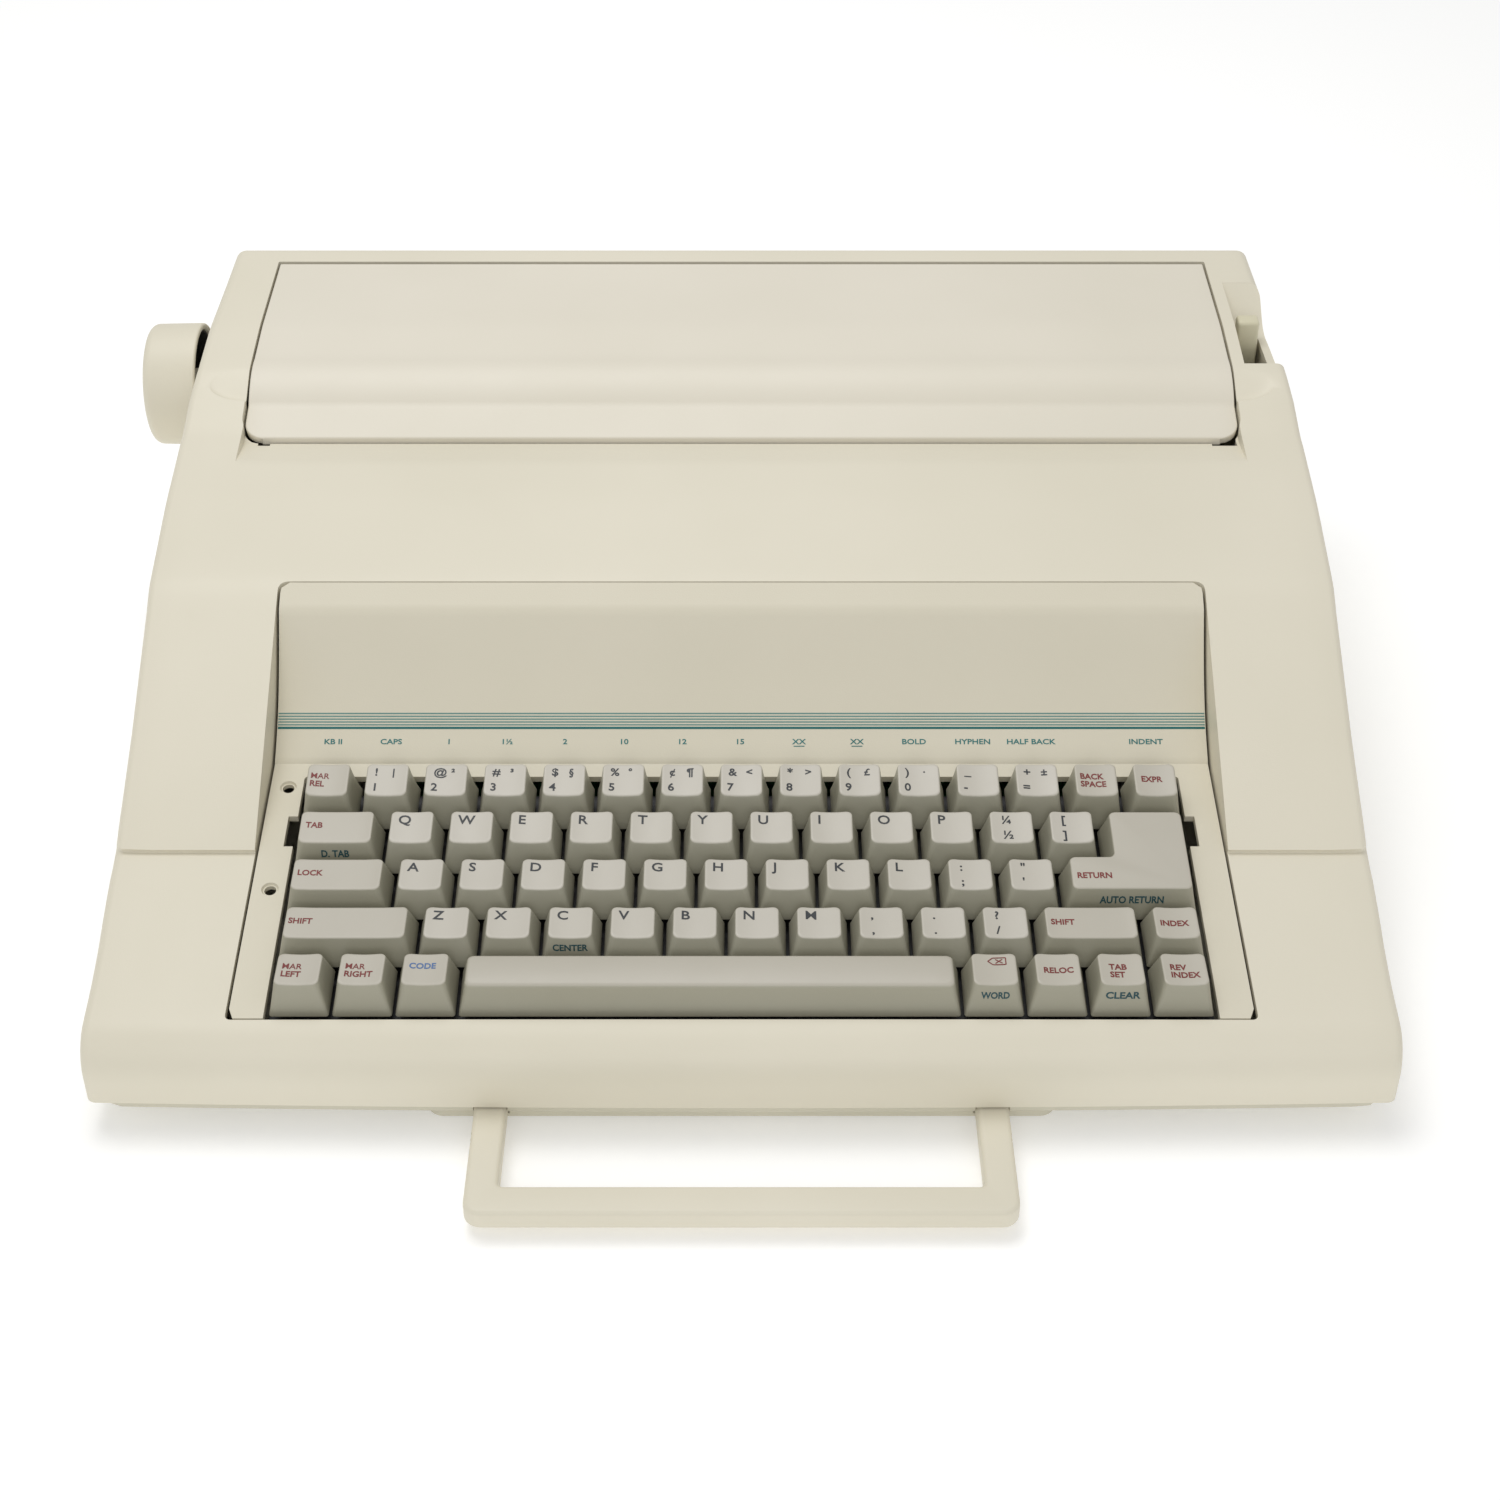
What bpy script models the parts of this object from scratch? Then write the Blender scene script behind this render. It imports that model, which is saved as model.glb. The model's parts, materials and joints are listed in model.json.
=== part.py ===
"""Portable daisy-wheel typewriter: case, keyboard, platen, printing carriage and pull-out handle. Metres, +Z up."""

import math

import bmesh
import bpy
from mathutils import Matrix, Vector

# Gaps between neighbouring pieces
FIT = 0.0003
SEAM_GAP = 0.0006

# Case
CASE_WIDTH = 0.401
CASE_WALL = 0.0025
SEAM_HEIGHT = 0.0112
FRONT_Y = -0.0560
REAR_Y = 0.3000
REAR_HEIGHT = 0.1235
REAR_ROUND = 0.0040
SHOULDER = (0.2400, 0.1203)
BROW = (0.2140, 0.1165)
COVER_LIP = (0.1850, 0.1062)
SLOPE_TOP = (0.1500, 0.1010)
PANEL_HEAD = (0.1075, 0.0930)
ARM_END_Y = 0.0240
ARM_STEP = 0.0016
DECK_DROP = 0.0088
FRONT_ROUND = 0.0145
SIDE_ROUND = 0.0040
ARC_STEPS = 4

# Keyboard
KEY_PITCH = 0.01905
KEY_SLOPE = math.radians(8.7)
KEY_PLANE_HEIGHT = 0.0500
KEY_COLUMNS = 15
KEY_ROWS = 5
KEY_TRAVEL = 0.0035
CAP_GAP = 0.00105
CAP_HEIGHT = 0.0105
CAP_SIDE_INSET = 0.0025
CAP_FRONT_INSET = 0.0035
CAP_REAR_INSET = 0.0016
CAP_RISE = (0.0023, 0.0009, 0.0004, 0.0, 0.0004)
CAP_BEVEL = 0.0009
STEM = 0.0050
STEM_LENGTH = 0.0100
WEB_DEPTH = 0.0040
WEB_HEIGHT = 0.0020
GUIDE_THICKNESS = 0.0020
GUIDE_DROP = 0.0050
GUIDE_CLEARANCE = 0.0005
WELL_CLEARANCE = 0.0006

# Keyboard surround
BEZEL_MARGIN = 0.0114
BEZEL_THICKNESS = 0.0025
PANEL_STRIP_DEPTH = 0.0085
PANEL_STRIP_DROP = 0.0050
PANEL_FOOT_Y = 0.0630
PANEL_SAG = 0.0045
CLIP_SLOT = (0.0040, 0.0120)
CLIP_SLOT_S = 0.0320
SCREW_HOLE_RADIUS = 0.0016
SCREW_HOLES = ((-0.1485, 0.0515), (-0.1485, 0.0075))

# Top cover
COVER_SIDE = 0.0220
COVER_THICKNESS = 0.0030
COVER_FRONT_Y = 0.1850
COVER_REAR_Y = 0.2860
COVER_STEP_Y = 0.2200
COVER_STEP_FOOT_Y = 0.2000
COVER_STEP_DROP = 0.0085
COVER_GAP = 0.0008

# Base
TRAY_INSET = 0.0020
TRAY_BOTTOM = 0.0075
TRAY_FLOOR = 0.0022
TRAY_RIM = 0.0025
HOUSING_SIDE = 0.0152
HOUSING_BOTTOM = 0.0018
HOUSING_TOP = 0.0130
HOUSING_REAR_Y = 0.0140
FOOT_LENGTH = 0.2000
FOOT_DEPTH = 0.0120
FRONT_FOOT_Y = 0.0300
REAR_FOOT_Y = 0.2750

# Carry handle
HANDLE_WIDTH = 0.1616
HANDLE_ARM = 0.0098
HANDLE_GRIP = 0.0108
HANDLE_FRONT_Y = -0.0971
HANDLE_END_Y = -0.0280
HANDLE_BOTTOM = 0.0037
HANDLE_TOP = 0.0106
HANDLE_ROUND = 0.0035
HANDLE_TRAVEL = 0.0300

# Platen and line feed
PLATEN_Y = 0.2470
PLATEN_HEIGHT = 0.0920
PLATEN_RADIUS = 0.0155
PLATEN_LENGTH = 0.3300
SHAFT_RADIUS = 0.0030
SHAFT_RIGHT_X = 0.1840
KNOB_RADIUS = 0.0230
KNOB_GAP = 0.0032
KNOB_DEPTH = 0.0200
KNOB_WALL = 0.0025
KNOB_HUB = 0.0060
KNOB_FLOOR = 0.0030
KNOB_ROUND = 0.0025
GEAR_MODULE = 0.0010
GEAR_TEETH = 44
PINION_TEETH = 12
GEAR_WIDTH = 0.0040
GEAR_BACKLASH = 0.00025
TOOTH_ADDENDUM = 0.75
TOOTH_DEDENDUM = 1.15
TOOTH_FOOT = 0.34
TOOTH_TOP = 0.13
MOTOR_CLEARANCE = 0.00075
MOTOR_LENGTH = 0.0300
PRESSURE_RADIUS = 0.0060
PRESSURE_LENGTH = 0.2400

# Frame of the mechanism
PLATE_SIDE = 0.0285
PLATE_THICKNESS = 0.0020
PLATE_FRONT_Y = 0.1420
PLATE_REAR_Y = 0.2860
PLATE_SHOULDER = 0.0600
PLATE_HEAD_HALF = 0.0150
PLATE_HEAD_HEIGHT = 0.0110
FRONT_RAIL_HEIGHT_OVER = 0.0130
RAIL_RADIUS = 0.0040
RAIL_HEIGHT = 0.0390
FRONT_RAIL_Y = 0.1740
REAR_RAIL_Y = 0.2080

# Carriage
CARRIAGE_WIDTH = 0.0640
CARRIAGE_FRONT_Y = 0.1602
CARRIAGE_REAR_Y = 0.2210
CARRIAGE_BOTTOM = 0.0330
CARRIAGE_FLOOR = 0.0450
CARRIAGE_TOP = 0.0840
CHEEK = 0.0030
WHEEL_RADIUS = 0.0335
WHEEL_HEIGHT = 0.0600
WHEEL_Y = 0.2262
WHEEL_THICKNESS = 0.0012
PETALS = 24
WHEEL_MOTOR_RADIUS = 0.0140
WHEEL_MOTOR_FRONT_Y = 0.1960
WHEEL_SHAFT_RADIUS = 0.0020
HAMMER_HEIGHT = 0.0904
HAMMER_SIZE = (0.0050, 0.0220, 0.0060)
HAMMER_TIP_Y = 0.2220
BRIDGE_HEIGHT = 0.0030
CASSETTE_WIDTH = 0.0900
CASSETTE_HEIGHT = 0.0130
CASSETTE_FRONT_Y = 0.1780
CASSETTE_BODY_REAR_Y = 0.1970
CASSETTE_ARM_REAR_Y = 0.2285
CASSETTE_ARM = 0.0095

# Belt drive
PULLEY_X = 0.1560
PULLEY_Y = 0.1500
PULLEY_RADIUS = 0.0080
PULLEY_BOTTOM = 0.0360
PULLEY_WIDTH = 0.0060
BELT_THICKNESS = 0.0010
BELT_WIDTH = 0.0050
CARRIAGE_MOTOR_RADIUS = 0.0150
IDLER_POST_RADIUS = 0.0025

# Paper release lever and its recess
LEVER_SIDE = 0.0100
LEVER_WIDTH = 0.0080
LEVER_DEPTH = 0.0080
LEVER_TOP = 0.1190
LEVER_Y = 0.2490
LEVER_PIVOT = (0.2560, 0.0620)
LEVER_PIN_RADIUS = 0.0025
RECESS_DEPTH = 0.0167
RECESS_Y = (0.2165, 0.2730)
RECESS_FLOOR = 0.1090
LEVER_SLOT_Y = (0.2320, 0.2545)
LEVER_SLOT_INNER = 0.0005
LEVER_SLOT_OUTER = 0.0010

# Electrics
BOARD_THICKNESS = 0.0016
BOARD_HEIGHT = 0.0140
BOARD_X = (-0.1300, 0.1300)
BOARD_Y = (0.0620, 0.1360)
CHIP = (0.0400, 0.0140, 0.0050)
CHIP_CENTRES = ((-0.0700, 0.0900), (0.0000, 0.1100), (0.0700, 0.0900))
TRANSFORMER_X = (-0.1620, -0.1060)
TRANSFORMER_Y = (0.2680, 0.2940)
TRANSFORMER_TOP = 0.0480
GLAND_X = 0.1200
GLAND_HEIGHT = 0.0300
GLAND_RADIUS = 0.0050
GLAND_FLANGE = 0.0075
GLAND_OUT = 0.0060

ROUND_STEPS = 24
SMALL_STEPS = 12

LOOKS = {
    "case": ((0.74, 0.70, 0.59), 0.50, 0.0),
    "cover": ((0.75, 0.71, 0.60), 0.48, 0.0),
    "bezel": ((0.71, 0.67, 0.56), 0.50, 0.0),
    "tray": ((0.58, 0.55, 0.45), 0.60, 0.0),
    "cap_light": ((0.66, 0.62, 0.56), 0.45, 0.0),
    "cap_grey": ((0.50, 0.47, 0.40), 0.45, 0.0),
    "black": ((0.03, 0.03, 0.03), 0.55, 0.0),
    "rubber": ((0.04, 0.04, 0.04), 0.80, 0.0),
    "steel": ((0.62, 0.62, 0.63), 0.35, 1.0),
    "white": ((0.80, 0.80, 0.78), 0.45, 0.0),
    "green": ((0.05, 0.26, 0.11), 0.50, 0.0),
    "copper": ((0.45, 0.35, 0.18), 0.45, 0.4),
}

for leftover in list(bpy.data.objects):
    bpy.data.objects.remove(leftover, do_unlink=True)

SCENE = bpy.context.scene
PARTS = bpy.data.collections.new("typewriter")
CUTTERS = bpy.data.collections.new("cutters")
SCENE.collection.children.link(PARTS)
SCENE.collection.children.link(CUTTERS)

HALF = CASE_WIDTH / 2
BEZEL_WIDTH = KEY_COLUMNS * KEY_PITCH + 2 * BEZEL_MARGIN
COVER_WIDTH = CASE_WIDTH - 2 * COVER_SIDE
HOUSING_WIDTH = HANDLE_WIDTH + 2 * HOUSING_SIDE
KNOB_INNER_X = -HALF - KNOB_GAP
KNOB_OUTER_X = KNOB_INNER_X - KNOB_DEPTH
PLATE_X = HALF - PLATE_SIDE
RECESS_X = HALF - RECESS_DEPTH
GEAR_X = RECESS_X - CASE_WALL - FIT - GEAR_WIDTH
LEVER_X = HALF - LEVER_SIDE

ROOT = bpy.data.objects.new("machine", None)
PARTS.objects.link(ROOT)
ROOT.location = (
    -(KNOB_OUTER_X + HALF) / 2,
    -(HANDLE_FRONT_Y + REAR_Y + GLAND_OUT) / 2,
    0,
)

KEYBOARD = bpy.data.objects.new("key_plane", None)
PARTS.objects.link(KEYBOARD)
KEYBOARD.parent = ROOT
KEYBOARD.location = (0, 0, KEY_PLANE_HEIGHT)
KEYBOARD.rotation_euler = (KEY_SLOPE, 0, 0)


def dressed(obj, look):
    """Give the object its own Principled material."""
    colour, roughness, metallic = LOOKS[look]
    material = bpy.data.materials.new(obj.name)
    material.use_nodes = True
    shader = material.node_tree.nodes["Principled BSDF"]
    shader.inputs["Base Color"].default_value = (*colour, 1)
    shader.inputs["Roughness"].default_value = roughness
    shader.inputs["Metallic"].default_value = metallic
    obj.data.materials.append(material)
    return obj


def placed(name, mesh, look, parent, cutter):
    obj = bpy.data.objects.new(name, mesh)
    (CUTTERS if cutter else PARTS).objects.link(obj)
    obj.parent = parent
    if cutter:
        obj.hide_render = True
        obj.display_type = "WIRE"
        return obj
    return dressed(obj, look)


def from_bmesh(name, bm, look=None, parent=ROOT, cutter=False):
    bmesh.ops.recalc_face_normals(bm, faces=bm.faces)
    mesh = bpy.data.meshes.new(name)
    bm.to_mesh(mesh)
    bm.free()
    return placed(name, mesh, look, parent, cutter)


def box_into(bm, low, high):
    size = [b - a for a, b in zip(low, high)]
    centre = [(a + b) / 2 for a, b in zip(low, high)]
    matrix = Matrix.Translation(centre) @ Matrix.Diagonal((*size, 1))
    return bmesh.ops.create_cube(bm, size=1, matrix=matrix)["verts"]


def block(name, low, high, look=None, parent=ROOT, cutter=False):
    bm = bmesh.new()
    box_into(bm, low, high)
    return from_bmesh(name, bm, look, parent, cutter)


TURN = {
    "X": Matrix(((0, 0, 1, 0), (1, 0, 0, 0), (0, 1, 0, 0), (0, 0, 0, 1))),
    "Y": Matrix(((1, 0, 0, 0), (0, 0, -1, 0), (0, 1, 0, 0), (0, 0, 0, 1))),
    "Z": Matrix.Identity(4),
}


def prism(name, outline, low, high, axis, look=None, parent=ROOT, cutter=False):
    """A filled outline of (a, b) points run from low to high along the axis: a, b are Y, Z along X; X, Z along Y."""
    curve = bpy.data.curves.new(name, "CURVE")
    curve.dimensions = "2D"
    curve.fill_mode = "BOTH"
    curve.extrude = (high - low) / 2
    spline = curve.splines.new("POLY")
    spline.points.add(len(outline) - 1)
    for point, (a, b) in zip(spline.points, outline):
        point.co = (a, b, 0, 1)
    spline.use_cyclic_u = True
    holder = bpy.data.objects.new(name + "_outline", curve)
    CUTTERS.objects.link(holder)
    bpy.context.view_layer.update()
    mesh = bpy.data.meshes.new_from_object(holder)
    bpy.data.objects.remove(holder, do_unlink=True)
    bm = bmesh.new()
    bm.from_mesh(mesh)
    bmesh.ops.remove_doubles(bm, verts=bm.verts, dist=1e-6)
    middle = (low + high) / 2
    away = -middle if axis == "Y" else middle
    bmesh.ops.transform(bm, matrix=TURN[axis] @ Matrix.Translation((0, 0, away)), verts=bm.verts)
    bpy.data.meshes.remove(mesh)
    return from_bmesh(name, bm, look, parent, cutter)


def rod(name, radius, low, high, axis, centre, look=None, cutter=False, steps=ROUND_STEPS, parent=ROOT):
    """A cylinder along X, Y or Z from low to high; centre holds the other two coordinates in X, Y, Z order."""
    bm = bmesh.new()
    bmesh.ops.create_cone(bm, cap_ends=True, segments=steps, radius1=radius, radius2=radius, depth=high - low)
    middle = (low + high) / 2
    spots = {
        "X": (middle, *centre),
        "Y": (centre[0], middle, centre[1]),
        "Z": (*centre, middle),
    }
    bmesh.ops.transform(bm, matrix=Matrix.Translation(spots[axis]) @ TURN[axis], verts=bm.verts)
    return from_bmesh(name, bm, look, parent, cutter)


def turned(name, profile, centre, look):
    """A (radius, along) profile turned about the machine's X direction at (Y, Z) centre; off the axis it is closed."""
    mesh = bpy.data.meshes.new(name)
    edges = [(i, i + 1) for i in range(len(profile) - 1)]
    if profile[0][0] > 0:
        edges.append((len(profile) - 1, 0))
    mesh.from_pydata([(radius, 0, along) for radius, along in profile], edges, [])
    obj = placed(name, mesh, look, ROOT, False)
    obj.location = (0, *centre)
    obj.rotation_euler = (0, math.pi / 2, 0)
    screw = obj.modifiers.new("turn", "SCREW")
    screw.axis = "Z"
    screw.steps = ROUND_STEPS
    screw.render_steps = ROUND_STEPS
    screw.use_merge_vertices = True
    screw.merge_threshold = 0.00001
    return obj


def boolean(target, other, operation):
    modifier = target.modifiers.new(operation.lower(), "BOOLEAN")
    modifier.solver = "EXACT"
    modifier.operation = operation
    modifier.object = other
    return target


def cut(target, *others):
    for other in others:
        boolean(target, other, "DIFFERENCE")
    return target


def join(target, *others):
    for other in others:
        boolean(target, other, "UNION")
    return target


def inset(outline, distance):
    """The outline moved inwards by the distance; its points run anticlockwise."""
    moved = []
    for i, point in enumerate(outline):
        here = Vector(point)
        before = (here - Vector(outline[i - 1])).normalized()
        after = (Vector(outline[(i + 1) % len(outline)]) - here).normalized()
        inward = Vector((-before.y, before.x)) + Vector((-after.y, after.x))
        moved.append(tuple(here + inward * distance / (1 + before.dot(after))))
    return moved


def sheet(line, thickness):
    """A closed outline: the open line and the same line moved to its right by the thickness."""
    under = []
    for i, point in enumerate(line):
        here = Vector(point)
        before = (here - Vector(line[max(i - 1, 0)])) if i else None
        after = (Vector(line[i + 1]) - here) if i + 1 < len(line) else None
        before = (before or after).normalized()
        after = (after or before).normalized()
        side = Vector((before.y, -before.x)) + Vector((after.y, -after.x))
        under.append(tuple(here + side * thickness / (1 + before.dot(after))))
    return list(line) + under[::-1]


def arc(centre, radius, start, end, steps=ARC_STEPS):
    angles = [math.radians(start + (end - start) * i / steps) for i in range(steps + 1)]
    return [(centre[0] + radius * math.cos(a), centre[1] + radius * math.sin(a)) for a in angles]


def deck_height(y):
    return KEY_PLANE_HEIGHT - DECK_DROP + y * math.tan(KEY_SLOPE)


# Case: one side profile, from the front seam over the deck, arms, brow and rear wall
front_centre = (FRONT_Y + FRONT_ROUND, deck_height(FRONT_Y + FRONT_ROUND) - FRONT_ROUND)
rear_centre = (REAR_Y - REAR_ROUND, REAR_HEIGHT - REAR_ROUND)
top_line = [
    (REAR_Y, SEAM_HEIGHT),
    *arc(rear_centre, REAR_ROUND, 0, 90),
    SHOULDER,
    BROW,
    COVER_LIP,
    SLOPE_TOP,
    PANEL_HEAD,
    (ARM_END_Y, deck_height(ARM_END_Y) + ARM_STEP),
    (ARM_END_Y, deck_height(ARM_END_Y)),
    *arc(front_centre, FRONT_ROUND, 90 + math.degrees(KEY_SLOPE), 180),
    (FRONT_Y, SEAM_HEIGHT),
]
top_case = prism("top_case", top_line, -HALF, HALF, "X", "case")
weights = top_case.data.attributes.new("bevel_weight_edge", "FLOAT", "EDGE")
corners = [tuple(round(c, 6) for c in point) for point in top_line]
neighbours = {frozenset(pair) for pair in zip(corners, corners[1:])}
for edge in top_case.data.edges:
    ends = [top_case.data.vertices[v].co for v in edge.vertices]
    along = frozenset((round(v.y, 6), round(v.z, 6)) for v in ends)
    weights.data[edge.index].value = float(along in neighbours)
rounding = top_case.modifiers.new("edges", "BEVEL")
rounding.limit_method = "WEIGHT"
rounding.width = SIDE_ROUND
rounding.segments = 2

inner_line = inset(top_line, CASE_WALL)
inner_line[0] = (inner_line[0][0], 0)
inner_line[-1] = (inner_line[-1][0], 0)
cavity = prism("cavity", inner_line, -HALF + CASE_WALL, HALF - CASE_WALL, "X", cutter=True)
bezel_half = BEZEL_WIDTH / 2
well_front_s = -2 * KEY_PITCH - CAP_FRONT_INSET - CAP_GAP / 2 - WELL_CLEARANCE
well_rear_s = well_front_s + KEY_ROWS * KEY_PITCH + 2 * WELL_CLEARANCE
well_half = KEY_COLUMNS * KEY_PITCH / 2 + WELL_CLEARANCE
well_front_y = well_front_s * math.cos(KEY_SLOPE)
above = REAR_HEIGHT + KEY_PITCH
keyboard_opening = block(
    "keyboard_opening",
    (-bezel_half - SEAM_GAP, well_front_y, front_centre[1] - CASE_WALL),
    (bezel_half + SEAM_GAP, PANEL_HEAD[0] + SEAM_GAP, above),
    cutter=True,
)
cover_half = COVER_WIDTH / 2
bay = block(
    "mechanism_bay",
    (-cover_half - COVER_GAP, COVER_FRONT_Y - COVER_GAP, PLATEN_HEIGHT),
    (cover_half + COVER_GAP, COVER_REAR_Y + COVER_THICKNESS / 2 + COVER_GAP, above),
    cutter=True,
)
shaft_hole = rod(
    "shaft_hole", SHAFT_RADIUS + 4 * FIT, -HALF - KEY_PITCH, -PLATE_X, "X", (PLATEN_Y, PLATEN_HEIGHT), cutter=True
)
recess_liner = block(
    "recess_liner",
    (RECESS_X - CASE_WALL, RECESS_Y[0] - CASE_WALL, RECESS_FLOOR - CASE_WALL),
    (HALF - CASE_WALL / 2, RECESS_Y[1] + CASE_WALL, BROW[1] - CASE_WALL / 2),
    cutter=True,
)
recess = block(
    "lever_recess", (RECESS_X, RECESS_Y[0], RECESS_FLOOR), (HALF + KEY_PITCH, RECESS_Y[1], above), cutter=True
)
lever_slot = block(
    "lever_slot",
    (LEVER_X - LEVER_WIDTH / 2 - LEVER_SLOT_INNER, LEVER_SLOT_Y[0], PLATEN_HEIGHT),
    (LEVER_X + LEVER_WIDTH / 2 + LEVER_SLOT_OUTER, LEVER_SLOT_Y[1], above),
    cutter=True,
)
gland_hole = rod(
    "gland_hole", GLAND_RADIUS + FIT, REAR_Y - KEY_PITCH / 2, REAR_Y + KEY_PITCH, "Y", (GLAND_X, GLAND_HEIGHT),
    cutter=True,
)
arm_wall_outline = [
    (PANEL_HEAD[0] + 2 * CASE_WALL, PANEL_HEAD[1] - CASE_WALL / 2),
    (PANEL_HEAD[0], PANEL_HEAD[1] - FIT),
    (ARM_END_Y + FIT, deck_height(ARM_END_Y) + ARM_STEP - FIT),
    (ARM_END_Y + FIT, deck_height(ARM_END_Y) - 2 * CASE_WALL),
    (PANEL_FOOT_Y, deck_height(PANEL_FOOT_Y) - 3 * CASE_WALL),
    (PANEL_HEAD[0] + 2 * CASE_WALL, PANEL_HEAD[1] - 5 * CASE_WALL),
]
cut(top_case, cavity)
join(top_case, recess_liner)
for side in (-1, 1):
    wall_x = sorted((side * (bezel_half + SEAM_GAP / 2), side * (bezel_half + SEAM_GAP + CASE_WALL)))
    join(top_case, prism(f"arm_wall_{side}", arm_wall_outline, *wall_x, "X", cutter=True))
cut(top_case, recess, lever_slot, keyboard_opening, bay, shaft_hole, gland_hole)

# Top cover: the case's own line with a step, hinged on a rounded rear edge
hinge_y = COVER_REAR_Y
slope_rear = (REAR_HEIGHT - SHOULDER[1]) / (REAR_Y - REAR_ROUND - SHOULDER[0])
hinge_z = SHOULDER[1] + slope_rear * (hinge_y - SHOULDER[0]) - COVER_THICKNESS / 2
step_top = BROW[1] + (SHOULDER[1] - BROW[1]) * (COVER_STEP_Y - BROW[0]) / (SHOULDER[0] - BROW[0])
step_foot = step_top - COVER_STEP_DROP
roll = [
    (
        COVER_STEP_Y - (COVER_STEP_Y - COVER_STEP_FOOT_Y) * math.sin(math.radians(a)),
        step_foot + COVER_STEP_DROP * math.cos(math.radians(a)),
    )
    for a in (0, 25, 50, 72, 90)
]
outer_line = [
    *arc((hinge_y, hinge_z), COVER_THICKNESS / 2, 0, 90),
    SHOULDER,
    *roll[:-1],
    (COVER_STEP_FOOT_Y, step_foot),
    (COVER_FRONT_Y, COVER_LIP[1] - SEAM_GAP),
]
inner_cover = [
    (COVER_FRONT_Y, COVER_LIP[1] - SEAM_GAP - COVER_THICKNESS),
    (COVER_STEP_FOOT_Y + COVER_THICKNESS, step_foot - COVER_THICKNESS),
    (COVER_STEP_Y + COVER_THICKNESS, step_top - COVER_THICKNESS),
    (SHOULDER[0], SHOULDER[1] - COVER_THICKNESS),
    *arc((hinge_y, hinge_z), COVER_THICKNESS / 2, -90, 0)[:-1],
]
top_cover = prism("top_cover", outer_line + inner_cover, -cover_half, cover_half, "X", "cover")

# Keyboard surround: control panel, ledge and side strips in one moulding
foot_z = deck_height(PANEL_FOOT_Y)
strip_end = (PANEL_HEAD[0] - PANEL_STRIP_DEPTH, PANEL_HEAD[1] - PANEL_STRIP_DROP)
panel = []
for part in (0.25, 0.5, 0.75):
    y = strip_end[0] + (PANEL_FOOT_Y - strip_end[0]) * part
    z = strip_end[1] + (foot_z - strip_end[1]) * part - PANEL_SAG * math.sin(math.pi * part)
    panel.append((y, z))
bezel_line = [
    (PANEL_HEAD[0], PANEL_HEAD[1]),
    strip_end,
    *panel,
    (PANEL_FOOT_Y, foot_z),
    (well_front_y + SEAM_GAP, deck_height(well_front_y + SEAM_GAP)),
]
bezel_outline = sheet(bezel_line[::-1], BEZEL_THICKNESS)
bezel_outline[len(bezel_line)] = (PANEL_HEAD[0], PANEL_HEAD[1] - BEZEL_THICKNESS / math.cos(math.radians(30)))
keyboard_bezel = prism("keyboard_bezel", bezel_outline, -bezel_half, bezel_half, "X", "bezel")
well = block(
    "key_well",
    (-well_half, well_front_s - KEY_PITCH, -KEY_PITCH),
    (well_half, well_rear_s, CAP_HEIGHT),
    parent=KEYBOARD,
    cutter=True,
)
cut(keyboard_bezel, well)
for side in (-1, 1):
    edges_x = sorted((side * (well_half - SEAM_GAP), side * (well_half + CLIP_SLOT[0])))
    slot = block(
        f"clip_slot_{side}",
        (edges_x[0], CLIP_SLOT_S - CLIP_SLOT[1] / 2, -KEY_PITCH),
        (edges_x[1], CLIP_SLOT_S + CLIP_SLOT[1] / 2, CAP_HEIGHT),
        parent=KEYBOARD,
        cutter=True,
    )
    cut(keyboard_bezel, slot)
for number, (x, s) in enumerate(SCREW_HOLES):
    hole = rod(f"screw_hole_{number}", SCREW_HOLE_RADIUS, -KEY_PITCH, CAP_HEIGHT, "Z", (x, s), cutter=True,
               steps=SMALL_STEPS, parent=KEYBOARD)
    cut(keyboard_bezel, hole)

# Base tray with the handle housing and the idler post
tray_half = HALF - TRAY_INSET
tray_front = FRONT_Y + TRAY_INSET
tray_rear = REAR_Y - TRAY_INSET
tray_top = SEAM_HEIGHT - FIT
base_tray = block("base_tray", (-tray_half, tray_front, TRAY_BOTTOM), (tray_half, tray_rear, tray_top), "tray")
tray_inside = block(
    "tray_inside",
    (-tray_half + TRAY_RIM, tray_front + TRAY_RIM, TRAY_BOTTOM + TRAY_FLOOR),
    (tray_half - TRAY_RIM, tray_rear - TRAY_RIM, above),
    cutter=True,
)
housing_front = FRONT_Y + CASE_WALL + SEAM_GAP
housing = block(
    "handle_housing",
    (-HOUSING_WIDTH / 2, housing_front, HOUSING_BOTTOM),
    (HOUSING_WIDTH / 2, HOUSING_REAR_Y, HOUSING_TOP),
    cutter=True,
)
idler_post = rod(
    "idler_post", IDLER_POST_RADIUS, TRAY_BOTTOM + TRAY_FLOOR / 2, PULLEY_BOTTOM + PULLEY_WIDTH, "Z",
    (PULLEY_X, PULLEY_Y), cutter=True, steps=SMALL_STEPS,
)
cut(base_tray, tray_inside)
join(base_tray, housing, idler_post)
arm_out = HANDLE_WIDTH / 2
arm_in = arm_out - HANDLE_ARM
for side in (-1, 1):
    low_x, high_x = sorted((side * (arm_in - FIT), side * (arm_out + FIT)))
    channel = block(
        f"arm_channel_{side}",
        (low_x, FRONT_Y - KEY_PITCH, HANDLE_BOTTOM - FIT),
        (high_x, HANDLE_END_Y + HANDLE_TRAVEL + HANDLE_GRIP / 2, HANDLE_TOP + FIT),
        cutter=True,
    )
    cut(base_tray, channel)


def foot_strip(name, y):
    return block(
        name,
        (-FOOT_LENGTH / 2, y - FOOT_DEPTH / 2, 0),
        (FOOT_LENGTH / 2, y + FOOT_DEPTH / 2, TRAY_BOTTOM - FIT),
        "rubber",
    )


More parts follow.
